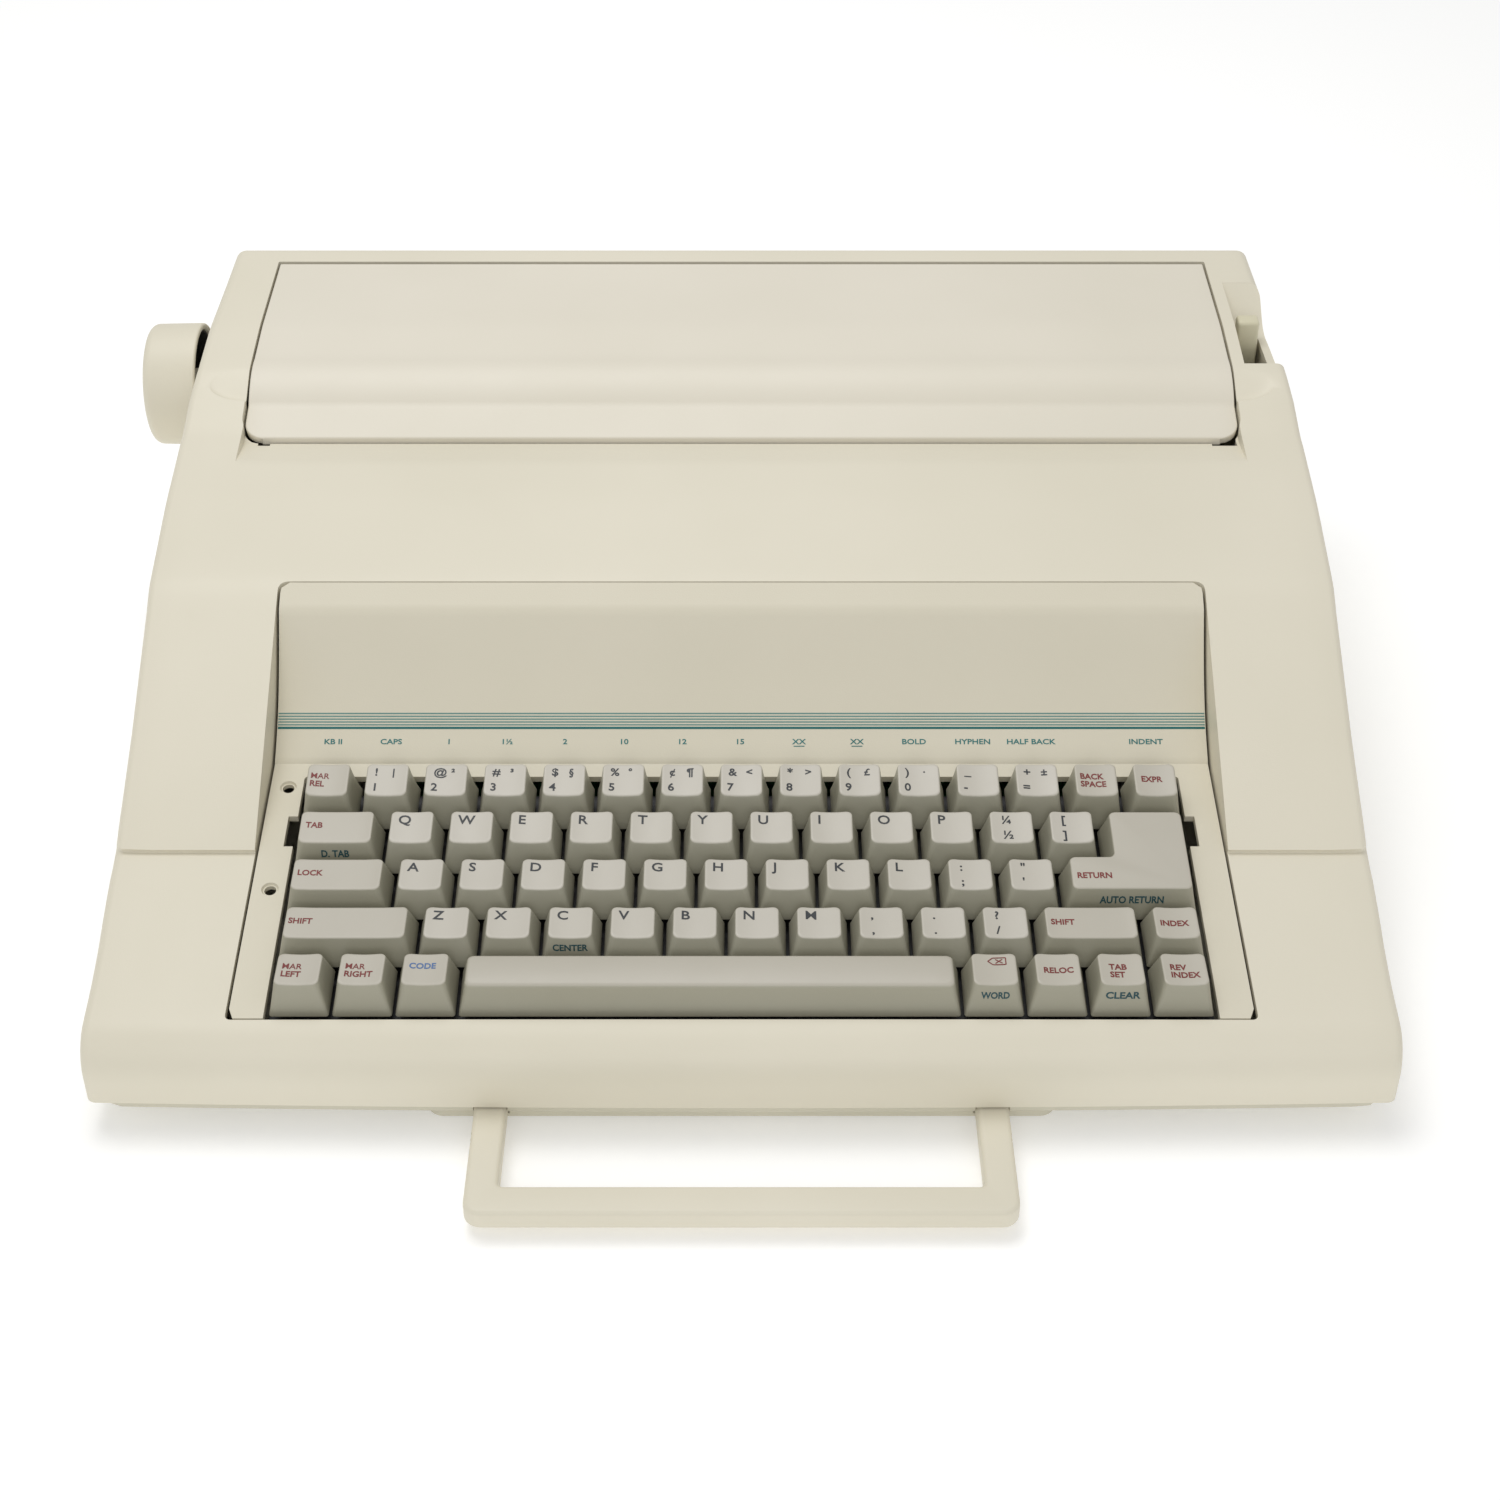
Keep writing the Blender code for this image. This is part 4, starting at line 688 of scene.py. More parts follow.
class TYPEWRITER_OT_lid(Operator):
    """Builds the hinged lid: its side line carried across, with rolled edges and rounded front corners"""

    bl_idname = "typewriter.lid"
    bl_label = "Lid"

    def execute(self, context):
        s = settings().lid
        line = lid_line(s)
        radius = 0.0006
        front = LID_FRONT_Y + radius * (1 - np.cos(np.linspace(0, math.pi / 2, 6)))
        early = np.concatenate([front, LID_FRONT_Y
                                + s.corner * (1 - np.cos(np.linspace(0.62, math.pi / 2, 8)))])
        y = np.unique(np.concatenate([early, line[line[:, 0] > LID_FRONT_Y + s.corner][:, 0]]).round(6))
        z = np.interp(y, line[:, 0], line[:, 1])
        out = normals(np.stack([y, z], 1))
        fall = radius - np.sqrt(np.clip(radius**2 - np.clip(LID_FRONT_Y + radius - y, 0, radius) ** 2, 0,
                                        None))
        inside = np.clip(LID_FRONT_Y + s.corner - y, 0, s.corner)
        half = LID_HALF - s.corner + np.sqrt(s.corner**2 - inside**2)
        turn = np.linspace(0, math.pi / 2, 6)
        across = np.linspace(-1, 1, 61)[1:-1]
        edge = half[:, None] - radius * (1 - np.cos(turn))
        middle = across * (half[:, None] - radius)
        x = np.concatenate([-edge, middle, edge[:, ::-1]], axis=1)
        sink = radius * (1 - np.concatenate([np.sin(turn), np.ones(len(across)), np.sin(turn[::-1])]))
        depth = np.maximum(sink[None, :], fall[:, None])
        outer = machine(x, y[:, None] + 0 * x, z[:, None] - depth)
        back = s.thickness
        lower_x = np.concatenate([-np.repeat(half[:, None], 6, 1), middle, np.repeat(half[:, None], 6, 1)],
                                 axis=1)
        lower_y = np.clip(y - out[:, 0] * back, LID_FRONT_Y, LID_REAR_Y)
        lower_y[0] = LID_FRONT_Y
        inner = machine(lower_x, lower_y[:, None] + 0 * x, (z - out[:, 1] * back)[:, None] + 0 * x)
        mesh = mesh_of("lid_shell", *slab(outer, inner))
        look = material("lid_moulding", s.colour, roughness=0.46, grain=0.14, grain_size=2200, mottle=0.028,
                        patch=9.0, dirt=0.04)
        piece("lid_shell", mesh, look, "cover", ("top_cover",), angle=30)
        return {"FINISHED"}


# --- surround ---------------------------------------------------------------


def panel_line(s):
    """Side line of the surround: head strip, slope hollowed by h sin(pi t), ledge and deck plane."""
    head, strip = np.array(PANEL_HEAD), np.array([PANEL_HEAD[0] - 0.0085, PANEL_HEAD[1] - 0.0050])
    foot = np.array([0.0630, float(deck_z(0.0630)) + 0.0006])
    part = np.linspace(0, 1, 25)
    slope = strip + (foot - strip) * part[:, None]
    slope[:, 1] -= s.sag * np.sin(math.pi * part)
    ledge = np.array([(0.0626, float(deck_z(0.0626)) + 0.0001)])
    flat_y = np.linspace(0.0620, -0.0418, 30)
    flat = np.stack([flat_y, deck_z(flat_y)], axis=1)
    return np.concatenate([spaced(np.stack([head, strip]), 0.002)[:-1], slope, ledge, flat])


def on_panel(s, x, q, lift):
    """A point of the panel's slope: q is measured up the slope from the foot, lift square to it."""
    line = panel_line(s)[::-1]
    line = line[line[:, 0] >= 0.0629]
    along = np.concatenate([[0], np.cumsum(np.hypot(*np.diff(line, axis=0).T))])
    out = normals(line)
    y = np.interp(q, along, line[:, 0]) + np.interp(q, along, out[:, 0]) * lift
    z = np.interp(q, along, line[:, 1]) + np.interp(q, along, out[:, 1]) * lift
    return machine(x, y, z)


class TYPEWRITER_OT_surround(Operator):
    """Builds the keyboard surround with its hollow control panel, side strips, clip slots and screw holes"""

    bl_idname = "typewriter.surround"
    bl_label = "Keyboard surround"

    def execute(self, context):
        s = settings().surround
        line = panel_line(s)
        out = -normals(line)
        half = half_width("keyboard_bezel")
        rear_inside = np.clip(line[:, 0] - (PANEL_HEAD[0] - 0.0030), 0, 0.0030)
        front_inside = np.clip(-0.0418 + 0.0015 - line[:, 0], 0, 0.0015)
        width = half - 0.0030 + np.sqrt(0.0030**2 - rear_inside**2)
        width = np.minimum(width, half - 0.0015 + np.sqrt(0.0015**2 - front_inside**2))
        x = np.linspace(-1, 1, 81)[None, :] * width[:, None]
        outer = machine(x, line[:, :1] + 0 * x, line[:, 1:] + 0 * x)
        under = line - out * s.thickness
        under[0] = (PANEL_HEAD[0], PANEL_HEAD[1] - 0.0030)
        inner = machine(x, under[:, :1] + 0 * x, under[:, 1:] + 0 * x)
        mesh = mesh_of("surround", *slab(outer, inner))
        well_half = half_width("key_frame") + 0.0002
        well = filleted(box_outline(-well_half, WELL_FRONT - BEYOND, well_half, WELL_REAR),
                        [0, 0, 0.001, 0.001], steps=4, closed=True)
        cutters = [prism("well", well, -0.03, 0.002, tilt=True)]
        slots = ((-well_half - 0.0030, -well_half + 0.002), (well_half - 0.002, well_half + 0.0030))
        for k, (a, b) in enumerate(slots):
            cutters.append(prism(f"slot_{k}", box_outline(a, 0.0255, b, 0.0385), -0.03, 0.002, tilt=True))
        sink = ((0.0023, -DECK_DROP - 0.0007), (0.0030, -DECK_DROP + 0.0006))
        for k, place in enumerate(SCREWS):
            cutters.append(prism(f"screw_{k}", ring(0.0019, 24) + place, -0.03, 0.002, tilt=True))
            rings = [key_plane(*(ring(r, 24) + place).T, n) for r, n in sink]
            cutters.append(mesh_of(f"sink_{k}", *stacked(rings)))
        mesh = carved(mesh, cutters)
        look = material("surround_moulding", s.colour, roughness=0.50, grain=0.13, grain_size=2400,
                        mottle=0.028, patch=10.0, dirt=0.05)
        piece("keyboard_surround", mesh, look, "case", ("keyboard_bezel",), angle=30)

        lines = [("panel_line", [0.0168 - 0.00097 * k for k in range(5)], 0.00045, s.line_colour),
                 ("panel_bar", [0.01185], 0.00080, s.bar_colour)]
        for name, places, wide, colour in lines:
            x = np.linspace(-half + 0.0002, half - 0.0002, 3)
            parts, faces, count = [], [], 0
            for q in places:
                across = np.array([q - wide / 2, q, q + wide / 2])
                grids = [on_panel(s, x[None, :], across[:, None], lift) for lift in (0.00005, -0.0003)]
                points, made = slab(*grids)
                parts.append(points)
                faces.append(made + count)
                count += len(points)
            look = material(f"{name}_ink", colour, roughness=0.42, mottle=0.06, patch=60.0)
            piece(name, mesh_of(name, np.concatenate(parts), np.concatenate(faces)), look, "case")
        return {"FINISHED"}


# --- lettering --------------------------------------------------------------


def lettered(text, height, stretch=1.0, align="LEFT", bold=LETTER_BOLD):
    """Points (x, y, z) and faces of flat lettering with a hair of thickness; height is a capital's."""
    curve = bpy.data.curves.new("letters", "FONT")
    curve.body = text
    curve.size = height / 0.729
    curve.align_x = align
    curve.align_y = "BOTTOM_BASELINE"
    curve.space_line = 0.95
    curve.extrude = 0.00004
    curve.offset = bold
    curve.resolution_u = 3
    holder = bpy.data.objects.new("letters", curve)
    bpy.context.scene.collection.objects.link(holder)
    bpy.context.view_layer.update()
    mesh = bpy.data.meshes.new_from_object(holder.evaluated_get(bpy.context.evaluated_depsgraph_get()))
    points = np.empty(len(mesh.vertices) * 3)
    mesh.vertices.foreach_get("co", points)
    faces = [list(p.vertices) for p in mesh.polygons]
    bpy.data.objects.remove(holder, do_unlink=True)
    bpy.data.curves.remove(curve)
    bpy.data.meshes.remove(mesh)
    return points.reshape(-1, 3) * (stretch, 1, 1), faces


class Sheet:
    """Gathers the points and faces of many small shapes into one mesh."""

    def __init__(self):
        self.points, self.faces, self.count = [], [], 0

    def add(self, points, faces):
        self.points.append(np.asarray(points).reshape(-1, 3))
        self.faces += [[v + self.count for v in face] for face in faces]
        self.count += len(self.points[-1])

    def mesh(self, name):
        mesh = bpy.data.meshes.new(name)
        mesh.from_pydata(np.concatenate(self.points), [], self.faces)
        mesh.validate()
        return mesh


PANEL_LABELS = (
    ("KB II", -0.1354), ("CAPS", -0.1162), ("1", -0.0970), ("1½", -0.0777), ("2", -0.0585), ("10", -0.0390),
    ("12", -0.0197), ("15", -0.0005), ("XX", 0.0191), ("XX", 0.0383), ("BOLD", 0.0572), ("HYPHEN", 0.0767),
    ("HALF BACK", 0.0960), ("INDENT", 0.1341),
)


class TYPEWRITER_OT_panel_labels(Operator):
    """Prints the small labels along the foot of the control panel"""

    bl_idname = "typewriter.panel_labels"
    bl_label = "Panel labels"

    def execute(self, context):
        s = settings().surround
        sheet = Sheet()
        for text, x in PANEL_LABELS:
            points, faces = lettered(text, 0.00185, 1.22, "CENTER", 0.00004)
            if text == "XX":
                bar = box_outline(-0.0018, -0.0006, 0.0018, -0.0009)
                place = on_panel(s, x + np.tile(bar[:, 0], 2), LABEL_LINE + np.tile(bar[:, 1], 2),
                                 np.repeat([0.0, 0.00008], 4))
                sheet.add(place, [[0, 1, 2, 3], [7, 6, 5, 4], [0, 4, 5, 1], [1, 5, 6, 2], [2, 6, 7, 3],
                                  [3, 7, 4, 0]])
            sheet.add(on_panel(s, x + points[:, 0], LABEL_LINE + points[:, 1], 0.00005 + points[:, 2]), faces)
        look = material("label_ink", s.label_colour, roughness=0.45, mottle=0.08, patch=80.0)
        piece("panel_labels", sheet.mesh("panel_labels"), look, "case")
        return {"FINISHED"}


# --- keys -------------------------------------------------------------------

CAP_GAP = 0.00105
CAP_HEIGHT = 0.0105
CAP_SIDE = 0.0024
CAP_FRONT = 0.0035
CAP_REAR = 0.0016
CAP_TILT = 0.0004
ROW_RAISES = ((0.0023, 0.0029), (0.00095, 0.00095), (0.0005, -0.0004), (0.0, -0.0012), (0.0011, -0.0005))


class Cap:
    """One key cap: its plan corners at the base, and the places of its top."""

    def __init__(self, left_u, wide_u, row, kind="dish"):
        self.kind = kind
        self.raises = (0.0005, 0.0007) if kind == "return" else ROW_RAISES[row]
        self.left = (left_u - 7.5) * KEY_PITCH + CAP_GAP / 2
        self.right = self.left + wide_u * KEY_PITCH - CAP_GAP
        self.face = (2 - row) * KEY_PITCH
        self.front = self.face - CAP_FRONT
        self.rear = self.front + KEY_PITCH - CAP_GAP
        self.corners = box_outline(self.left, self.front, self.right, self.rear)
        if kind == "return":
            upper_left = self.left + 0.75 * KEY_PITCH
            upper_rear = self.rear + KEY_PITCH
            self.corners = np.array([(self.left, self.front), (self.right, self.front),
                                     (self.right, upper_rear),
                                     (upper_left, upper_rear), (upper_left, self.rear),
                                     (self.left, self.rear)])
        self.top_left = self.left + CAP_SIDE
        self.top_right = self.right - CAP_SIDE
        self.top_rear = self.rear - CAP_REAR

    def surface(self, s, x, y):
        """Height over the key plane: the row's raise, less the hollow d(1 - |t|^p) or the bar's crown."""
        deep = np.clip((np.asarray(y) - self.face) / (self.top_rear - self.face), 0, 1)
        raised = self.raises[0] + (self.raises[1] - self.raises[0]) * deep
        half = (self.top_right - self.top_left) / 2
        across = np.abs((np.asarray(x) - (self.top_left + self.top_right) / 2) / half)
        tilt = CAP_TILT * deep
        if self.kind == "bar":
            t = (np.asarray(y) - (self.face + self.top_rear) / 2) / ((self.top_rear - self.face) / 2)
            return raised - 0.0007 * np.clip(np.abs(t), 0, 1.2) ** 2.2
        if self.kind == "return":
            return raised + 0 * across
        power = 2.0 + 5.0 * smooth(half, 0.0065, 0.014)
        depth = s.dish * (1 if half < 0.008 else 0.8)
        return raised + tilt - depth * (1 - np.clip(across, 0, 1.15) ** power)

    def rings(self, s):
        """Rounded outlines stacked from the base to the top edge, then shrunk to the middle of the top."""
        runs = np.roll(self.corners, -1, axis=0) - self.corners
        step = np.zeros_like(runs)
        step[:, 0] = np.where(runs[:, 1] > 1e-9, -CAP_SIDE, np.where(runs[:, 1] < -1e-9, CAP_SIDE, 0))
        step[:, 1] = np.where(runs[:, 0] > 1e-9, CAP_FRONT, np.where(runs[:, 0] < -1e-9, -CAP_REAR, 0))
        step = step + np.roll(step, 1, axis=0)
        edge = s.top_radius * (1.9 if self.kind == "bar" else 1.0)
        levels = [(t, 0.0, -CAP_HEIGHT * (1 - t)) for t in (0.0, 0.02, 0.25, 0.5, 0.72)]
        levels[1] = (0.0, 0.0, -CAP_HEIGHT + 0.0003)
        reach = 1 - edge / CAP_HEIGHT
        levels += [(reach, edge * (1 - math.cos(a)), -edge * (1 - math.sin(a)))
                   for a in np.linspace(0.15, math.pi / 2, 6)]
        rings, outline = [], None
        for t, inset, n in levels:
            corners = self.corners + step * t + np.sign(step) * inset
            radius = 0.0009 + 0.0011 * t
            shape = filleted(corners, [radius] * len(corners), steps=5, closed=True)
            shape = closed_spaced(shape, 6, 5)
            bend = self.surface(s, shape[:, 0], shape[:, 1]) * min(t / reach, 1.0) ** 3
            rings.append(np.stack([shape[:, 0], shape[:, 1], n + bend], axis=1))
            outline = shape
        if self.kind != "return":
            middle = (outline.min(0) + outline.max(0)) / 2
            for k in (0.93, 0.8, 0.62, 0.42, 0.2, 0.0):
                shape = middle + (outline - middle) * k
                rings.append(np.stack([shape[:, 0], shape[:, 1], self.surface(s, shape[:, 0], shape[:, 1])],
                                      axis=1))
        rings = np.array(rings)
        return key_plane(rings[..., 0], rings[..., 1], rings[..., 2])

    def shape(self, s):
        rings = self.rings(s)
        points, faces = stacked(rings, caps=False)
        cols = rings.shape[1]
        faces = faces + [list(range(cols))[::-1]]
        if self.kind == "return":
            last = (len(rings) - 1) * cols
            faces.append(list(range(last, last + cols)))
        return points, faces


def closed_spaced(shape, arc_points, extra):
    """A filleted outline with extra points put evenly along each straight run between its arcs."""
    count = len(shape) // arc_points
    arcs = shape.reshape(count, arc_points, 2)
    ends, starts = arcs[:, -1], np.roll(arcs[:, 0], -1, axis=0)
    part = (np.arange(extra) + 1) / (extra + 1)
    runs = ends[:, None] + (starts - ends)[:, None] * part[None, :, None]
    return np.concatenate([arcs, runs], axis=1).reshape(-1, 2)


# A mark is its place, text, ink, distances in mm from the top's left edge and from its rear edge down to
# the baseline, the height of a capital in mm, and its stretch. A front's mark is centred and measured from
# the top edge of the front.
def top_words(text, right, down, ink="red"):
    return [("top", word, ink, right, down + 3.15 * k, 2.3, 0.92) for k, word in enumerate(text.split("\n"))]


def front(text, down, height, stretch=0.88):
    return [("front", text, "teal", 0, down, height, stretch)]


def typed(letter):
    return [("top", letter, "dark", 2.2, 5.2, 3.7, 1.0)]


def figure(low, left, right=""):
    marks = [("top", low, "dark", 1.9, 11.0, 3.1, 1.0), ("top", left, "dark", 2.4, 4.8, 3.1, 1.0)]
    return marks + ([("top", right, "dark", 8.0, 4.6, 2.8, 1.0)] if right else [])


def pair(upper, lower):
    return [("top", upper, "dark", 3.4, 5.0, 3.3, 1.0), ("top", lower, "dark", 3.6, 11.2, 3.3, 1.0)]


def light(left, row, *marks):
    """Typing keys side by side, the first one's left edge in key widths from the field's left edge."""
    return "light", [(left + k, 1, row, "dish", mark) for k, mark in enumerate(marks)]


def grey(left, wide, row, marks, kind="dish"):
    """One function key with its left edge and width in key widths."""
    return "grey", [(left, wide, row, kind, marks)]


KEYS = {
    "margin_release_key": grey(0, 1, 0, top_words("MAR\nREL", 0.9, 6.0)),
    "number_keys_left": light(1, 0, figure("1", "!", "|"), figure("2", "@", "²"), figure("3", "#", "³"),
                              figure("4", "$", "§")),
    "number_keys_middle": light(5, 0, figure("5", "%", "°"), figure("6", "¢", "¶"), figure("7", "&", "<"),
                                figure("8", "*", ">")),
    "number_keys_right": light(9, 0, figure("9", "(", "£"), figure("0", ")", "·"), figure("-", "_"),
                               figure("=", "+", "±")),
    "backspace_key": grey(13, 1, 0, top_words("BACK\nSPACE", 1.5, 6.2)),
    "express_key": grey(14, 1, 0, top_words("EXPR", 2.1, 7.3)),
    "tab_key": grey(0, 1.5, 1, top_words("TAB", 1.6, 6.8) + front("D. TAB", 5.0, 2.4)),
    "upper_keys_left": light(1.5, 1, *map(typed, "QWER")),
    "upper_keys_middle": light(5.5, 1, *map(typed, "TYUI")),
    "upper_keys_right": light(9.5, 1, typed("O"), typed("P"), pair("¼", "½"), pair("[", "]")),
    "return_key": grey(12.75, 2.25, 2, top_words("RETURN", 1.6, 8.8) + front("AUTO RETURN", 5.1, 2.4),
                       "return"),
    "lock_key": grey(0, 1.75, 2, top_words("LOCK", 1.3, 7.0)),
    "home_keys_left": light(1.75, 2, *map(typed, "ASDF")),
    "home_keys_middle": light(5.75, 2, *map(typed, "GHJK")),
    "home_keys_right": light(9.75, 2, typed("L"), pair(":", ";"), pair("\"", "'")),
    "shift_left_key": grey(0, 2.25, 3, top_words("SHIFT", 0.9, 7.0)),
    "lower_keys_left": light(2.25, 3, typed("Z"), typed("X"), typed("C") + front("CENTER", 5.0, 2.4),
                             typed("V"), typed("B")),
    "lower_keys_right": light(7.25, 3, typed("N"), typed("M"), pair(",", ","), pair(".", "."),
                              pair("?", "/")),
    "shift_right_key": grey(12.25, 1.75, 3, top_words("SHIFT", 1.5, 7.4)),
    "index_key": grey(14, 1, 3, top_words("INDEX", 1.6, 7.9)),
    "margin_left_key": grey(0, 1, 4, top_words("MAR\nLEFT", 1.5, 6.4)),
    "margin_right_key": grey(1, 1, 4, top_words("MAR\nRIGHT", 1.5, 6.4)),
    "code_key": grey(2, 1, 4, top_words("CODE", 1.7, 6.2, "blue")),
    "space_bar": grey(3, 8, 4, [], "bar"),
    "correction_key": grey(11, 1, 4, [("erase", "", "red", 4.8, 4.6, 2.9, 1.0)] + front("WORD", 4.6, 2.2)),
    "relocate_key": grey(12, 1, 4, top_words("RELOC", 2.2, 8.0)),
    "tab_set_key": grey(13, 1, 4, top_words("TAB\nSET", 3.0, 6.6) + front("CLEAR", 4.6, 2.2, 1.15)),
    "reverse_index_key": grey(14, 1, 4, top_words("REV\nINDEX", 2.2, 6.8)),
}
INKS = {"dark": "dark_ink", "red": "red_ink", "blue": "blue_ink", "teal": "teal_ink"}


def erase_sign():
    """Points and faces of a left-pointing tag outline with a cross in it, 5.4 by 2.8 mm, as thin bars."""
    tag = np.array([(0, 1.4), (1.5, 2.8), (5.4, 2.8), (5.4, 0), (1.5, 0), (0, 1.4)]) / 1000
    cross = np.array([[(2.3, 0.6), (4.4, 2.2)], [(2.3, 2.2), (4.4, 0.6)]]) / 1000
    bars = [(tag[k], tag[k + 1]) for k in range(5)] + [tuple(c) for c in cross]
    sheet = Sheet()
    for a, b in bars:
        along = (b - a) / np.hypot(*(b - a))
        side = np.array([-along[1], along[0]]) * 0.00017
        plan = np.array([a - side, b - side, b + side, a + side])
        points = np.concatenate([np.c_[plan, np.full(4, -0.00004)], np.c_[plan, np.full(4, 0.00004)]])
        sheet.add(points, [[3, 2, 1, 0], [4, 5, 6, 7], [0, 1, 5, 4], [1, 2, 6, 5], [2, 3, 7, 6],
                           [3, 0, 4, 7]])
    return np.concatenate(sheet.points), sheet.faces


def on_top(cap, s, points, right, down):
    """Lettering laid on the hollow top, from its left and rear edges."""
    x = cap.top_left + right / 1000 + points[:, 0]
    y = cap.top_rear - down / 1000 + points[:, 1]
    return key_plane(x, y, cap.surface(s, x, y) + 0.00004 + points[:, 2])


def on_front(cap, s, points, down):
    """Lettering laid on the sloping front, centred, its baseline so far below the top edge."""
    length = math.hypot(CAP_FRONT, CAP_HEIGHT)
    lean, fall = CAP_FRONT / length, CAP_HEIGHT / length
    x = (cap.left + cap.right) / 2 + points[:, 0]
    part = 1 - (down / 1000 - points[:, 1]) / length
    rise = cap.surface(s, x, cap.face) * np.clip(part / (1 - s.top_radius / CAP_HEIGHT), 0, 1) ** 3
    lift = 0.00006 + points[:, 2]
    return key_plane(x, cap.front + CAP_FRONT * part - lift * fall,
                     rise - CAP_HEIGHT * (1 - part) + lift * lean)


def shade_sides(mesh):
    """Stores how far each point leans away from the key plane's normal: 0 on the tops, 1 on the sides, where
    the material paints shade on the caps.
    """
    facing = np.empty(len(mesh.vertices) * 3)
    mesh.vertex_normals.foreach_get("vector", facing)
    upward = facing.reshape(-1, 3) @ np.array([0, -math.sin(KEY_SLOPE), math.cos(KEY_SLOPE)])
    side = mesh.attributes.new("side", "FLOAT", "POINT")
    side.data.foreach_set("value", 1 - smooth(upward, 0.45, 0.92))


class TYPEWRITER_OT_keys(Operator):
    """Builds every key cap: rounded outlines stacked to a soft top edge and a hollow or crowned top, with
    painted shade darkening their sides
    """

    bl_idname = "typewriter.keys"
    bl_label = "Key caps"

    def execute(self, context):
        s = settings().keys
        looks = {
            "light": material("typing_key_moulding", s.light_colour, roughness=0.40, grain=0.10,
                              grain_size=2600, mottle=0.03, patch=26.0, dirt=0.06, painted_side_shade=s.painted_side_shade),
            "grey": material("function_key_moulding", s.grey_colour, roughness=0.42, grain=0.10,
                             grain_size=2600, mottle=0.03, patch=26.0, dirt=0.06, painted_side_shade=s.painted_side_shade),
        }
        for node, (shade, caps) in KEYS.items():
            sheet = Sheet()
            for left_u, wide_u, row, kind, _ in caps:
                sheet.add(*Cap(left_u, wide_u, row, kind).shape(s))
            mesh = mesh_of(node + "_caps", np.concatenate(sheet.points), sheet.faces)
            # Marks the caps' sides, where their material paints shade.
            shade_sides(mesh)
            piece(node + "_caps", mesh, looks[shade], node, (node,), angle=40)
        return {"FINISHED"}


class TYPEWRITER_OT_legends(Operator):
    """Prints the legends on the tops and fronts of the keys, one piece for each ink on each key body"""

    bl_idname = "typewriter.legends"
    bl_label = "Key legends"

    def execute(self, context):
        s = settings().keys
        for node, (shade, caps) in KEYS.items():
            sheets = {}
            for left_u, wide_u, row, kind, marks in caps:
                cap = Cap(left_u, wide_u, row, kind)
                for place, text, ink, right, down, height, stretch in marks:
                    sheet = sheets.setdefault(ink, Sheet())
                    if place == "erase":
                        points, faces = erase_sign()
                        sheet.add(on_top(cap, s, points, right, down), faces)
                    elif place == "top":
                        bold = WIDE_LETTER_BOLD if "M" in text else LETTER_BOLD
                        points, faces = lettered(text, height / 1000, stretch, bold=bold)
                        sheet.add(on_top(cap, s, points, right, down), faces)
                    else:
                        points, faces = lettered(text, height / 1000, stretch, "CENTER")
                        sheet.add(on_front(cap, s, points, down), faces)
            for ink, sheet in sheets.items():
                look = material(f"{ink}_ink", getattr(s, INKS[ink]), roughness=0.5, mottle=0.10, patch=90.0)
                name = f"{node}_{ink}_legends"
                piece(name, sheet.mesh(name), look, node)
        return {"FINISHED"}


# --- small pieces -----------------------------------------------------------


def turned_about_x(profile, centre, steps=72):
    """A closed profile of (radius, along) points turned about the X direction through centre (y, z)."""
    profile = np.asarray(profile)
    angles = np.linspace(0, 2 * math.pi, steps, endpoint=False)
    radius, along = profile[:, :1], profile[:, 1:]
    y = centre[0] + radius * np.cos(angles)
    z = centre[1] + radius * np.sin(angles)
    return machine(along + 0 * y, y, z)


class TYPEWRITER_OT_knob(Operator):
    """Builds the platen knob: a hollow cup turned about the platen's axis, with a rounded rim and a hub, and
    a black ring inside the cup as painted shade in its hollow
    """

    bl_idname = "typewriter.knob"
    bl_label = "Platen knob"

    def execute(self, context):
        s = settings().case
        low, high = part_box("platen_knob")
        centre = ((low.y + high.y) / 2 - ORIGIN[1], (low.z + high.z) / 2)
        radius = (high.y - low.y) / 2
        out, back = low.x - ORIGIN[0], high.x - ORIGIN[0]
        wall = 0.0024
        rounded = filleted(
            [(0, out), (radius - 0.0004, out), (radius, back), (radius - wall, back),
             (radius - wall, out + wall),
             (0.0060, out + wall), (0.0060, back - wall), (0.0033, back - wall), (0.0033, out + wall),
             (0, out + wall)],
            [0, 0.0032, 0.0010, 0.0010, 0.0015, 0.0012, 0.0005, 0.0003, 0.0002, 0], steps=7,
        )
        rounded = spaced(rounded, 0.003)
        mesh = mesh_of("knob", *stacked(turned_about_x(rounded, centre), caps=False), merge=1e-6)
        look = material("case_moulding", s.colour)
        piece("platen_knob_cup", mesh, look, "platen", ("platen_knob",), angle=40)
        # Painted shade: a black ring laid inside the cup to darken its hollow.
        reach, floor = radius - wall - 0.0003, out + wall + 0.0002
        shade_ring_profile = [(0.0064, floor), (reach, floor), (reach, back - 0.0012), (reach - 0.0005, back - 0.0012),
                  (reach - 0.0005, floor + 0.0005), (0.0064, floor + 0.0005)]
        rings = turned_about_x(shade_ring_profile, centre)
        mesh = mesh_of("knob_painted_shade_ring", rings.reshape(-1, 3),
                       quads(*rings.shape[:2], close_rows=True, close_cols=True))
        dark = material("painted_shade_black", (0.016, 0.016, 0.015), roughness=0.65, grain=0.2, mottle=0.25,
                        patch=60.0)
        piece("knob_painted_shade_ring", mesh, dark, "platen", angle=40)
        return {"FINISHED"}


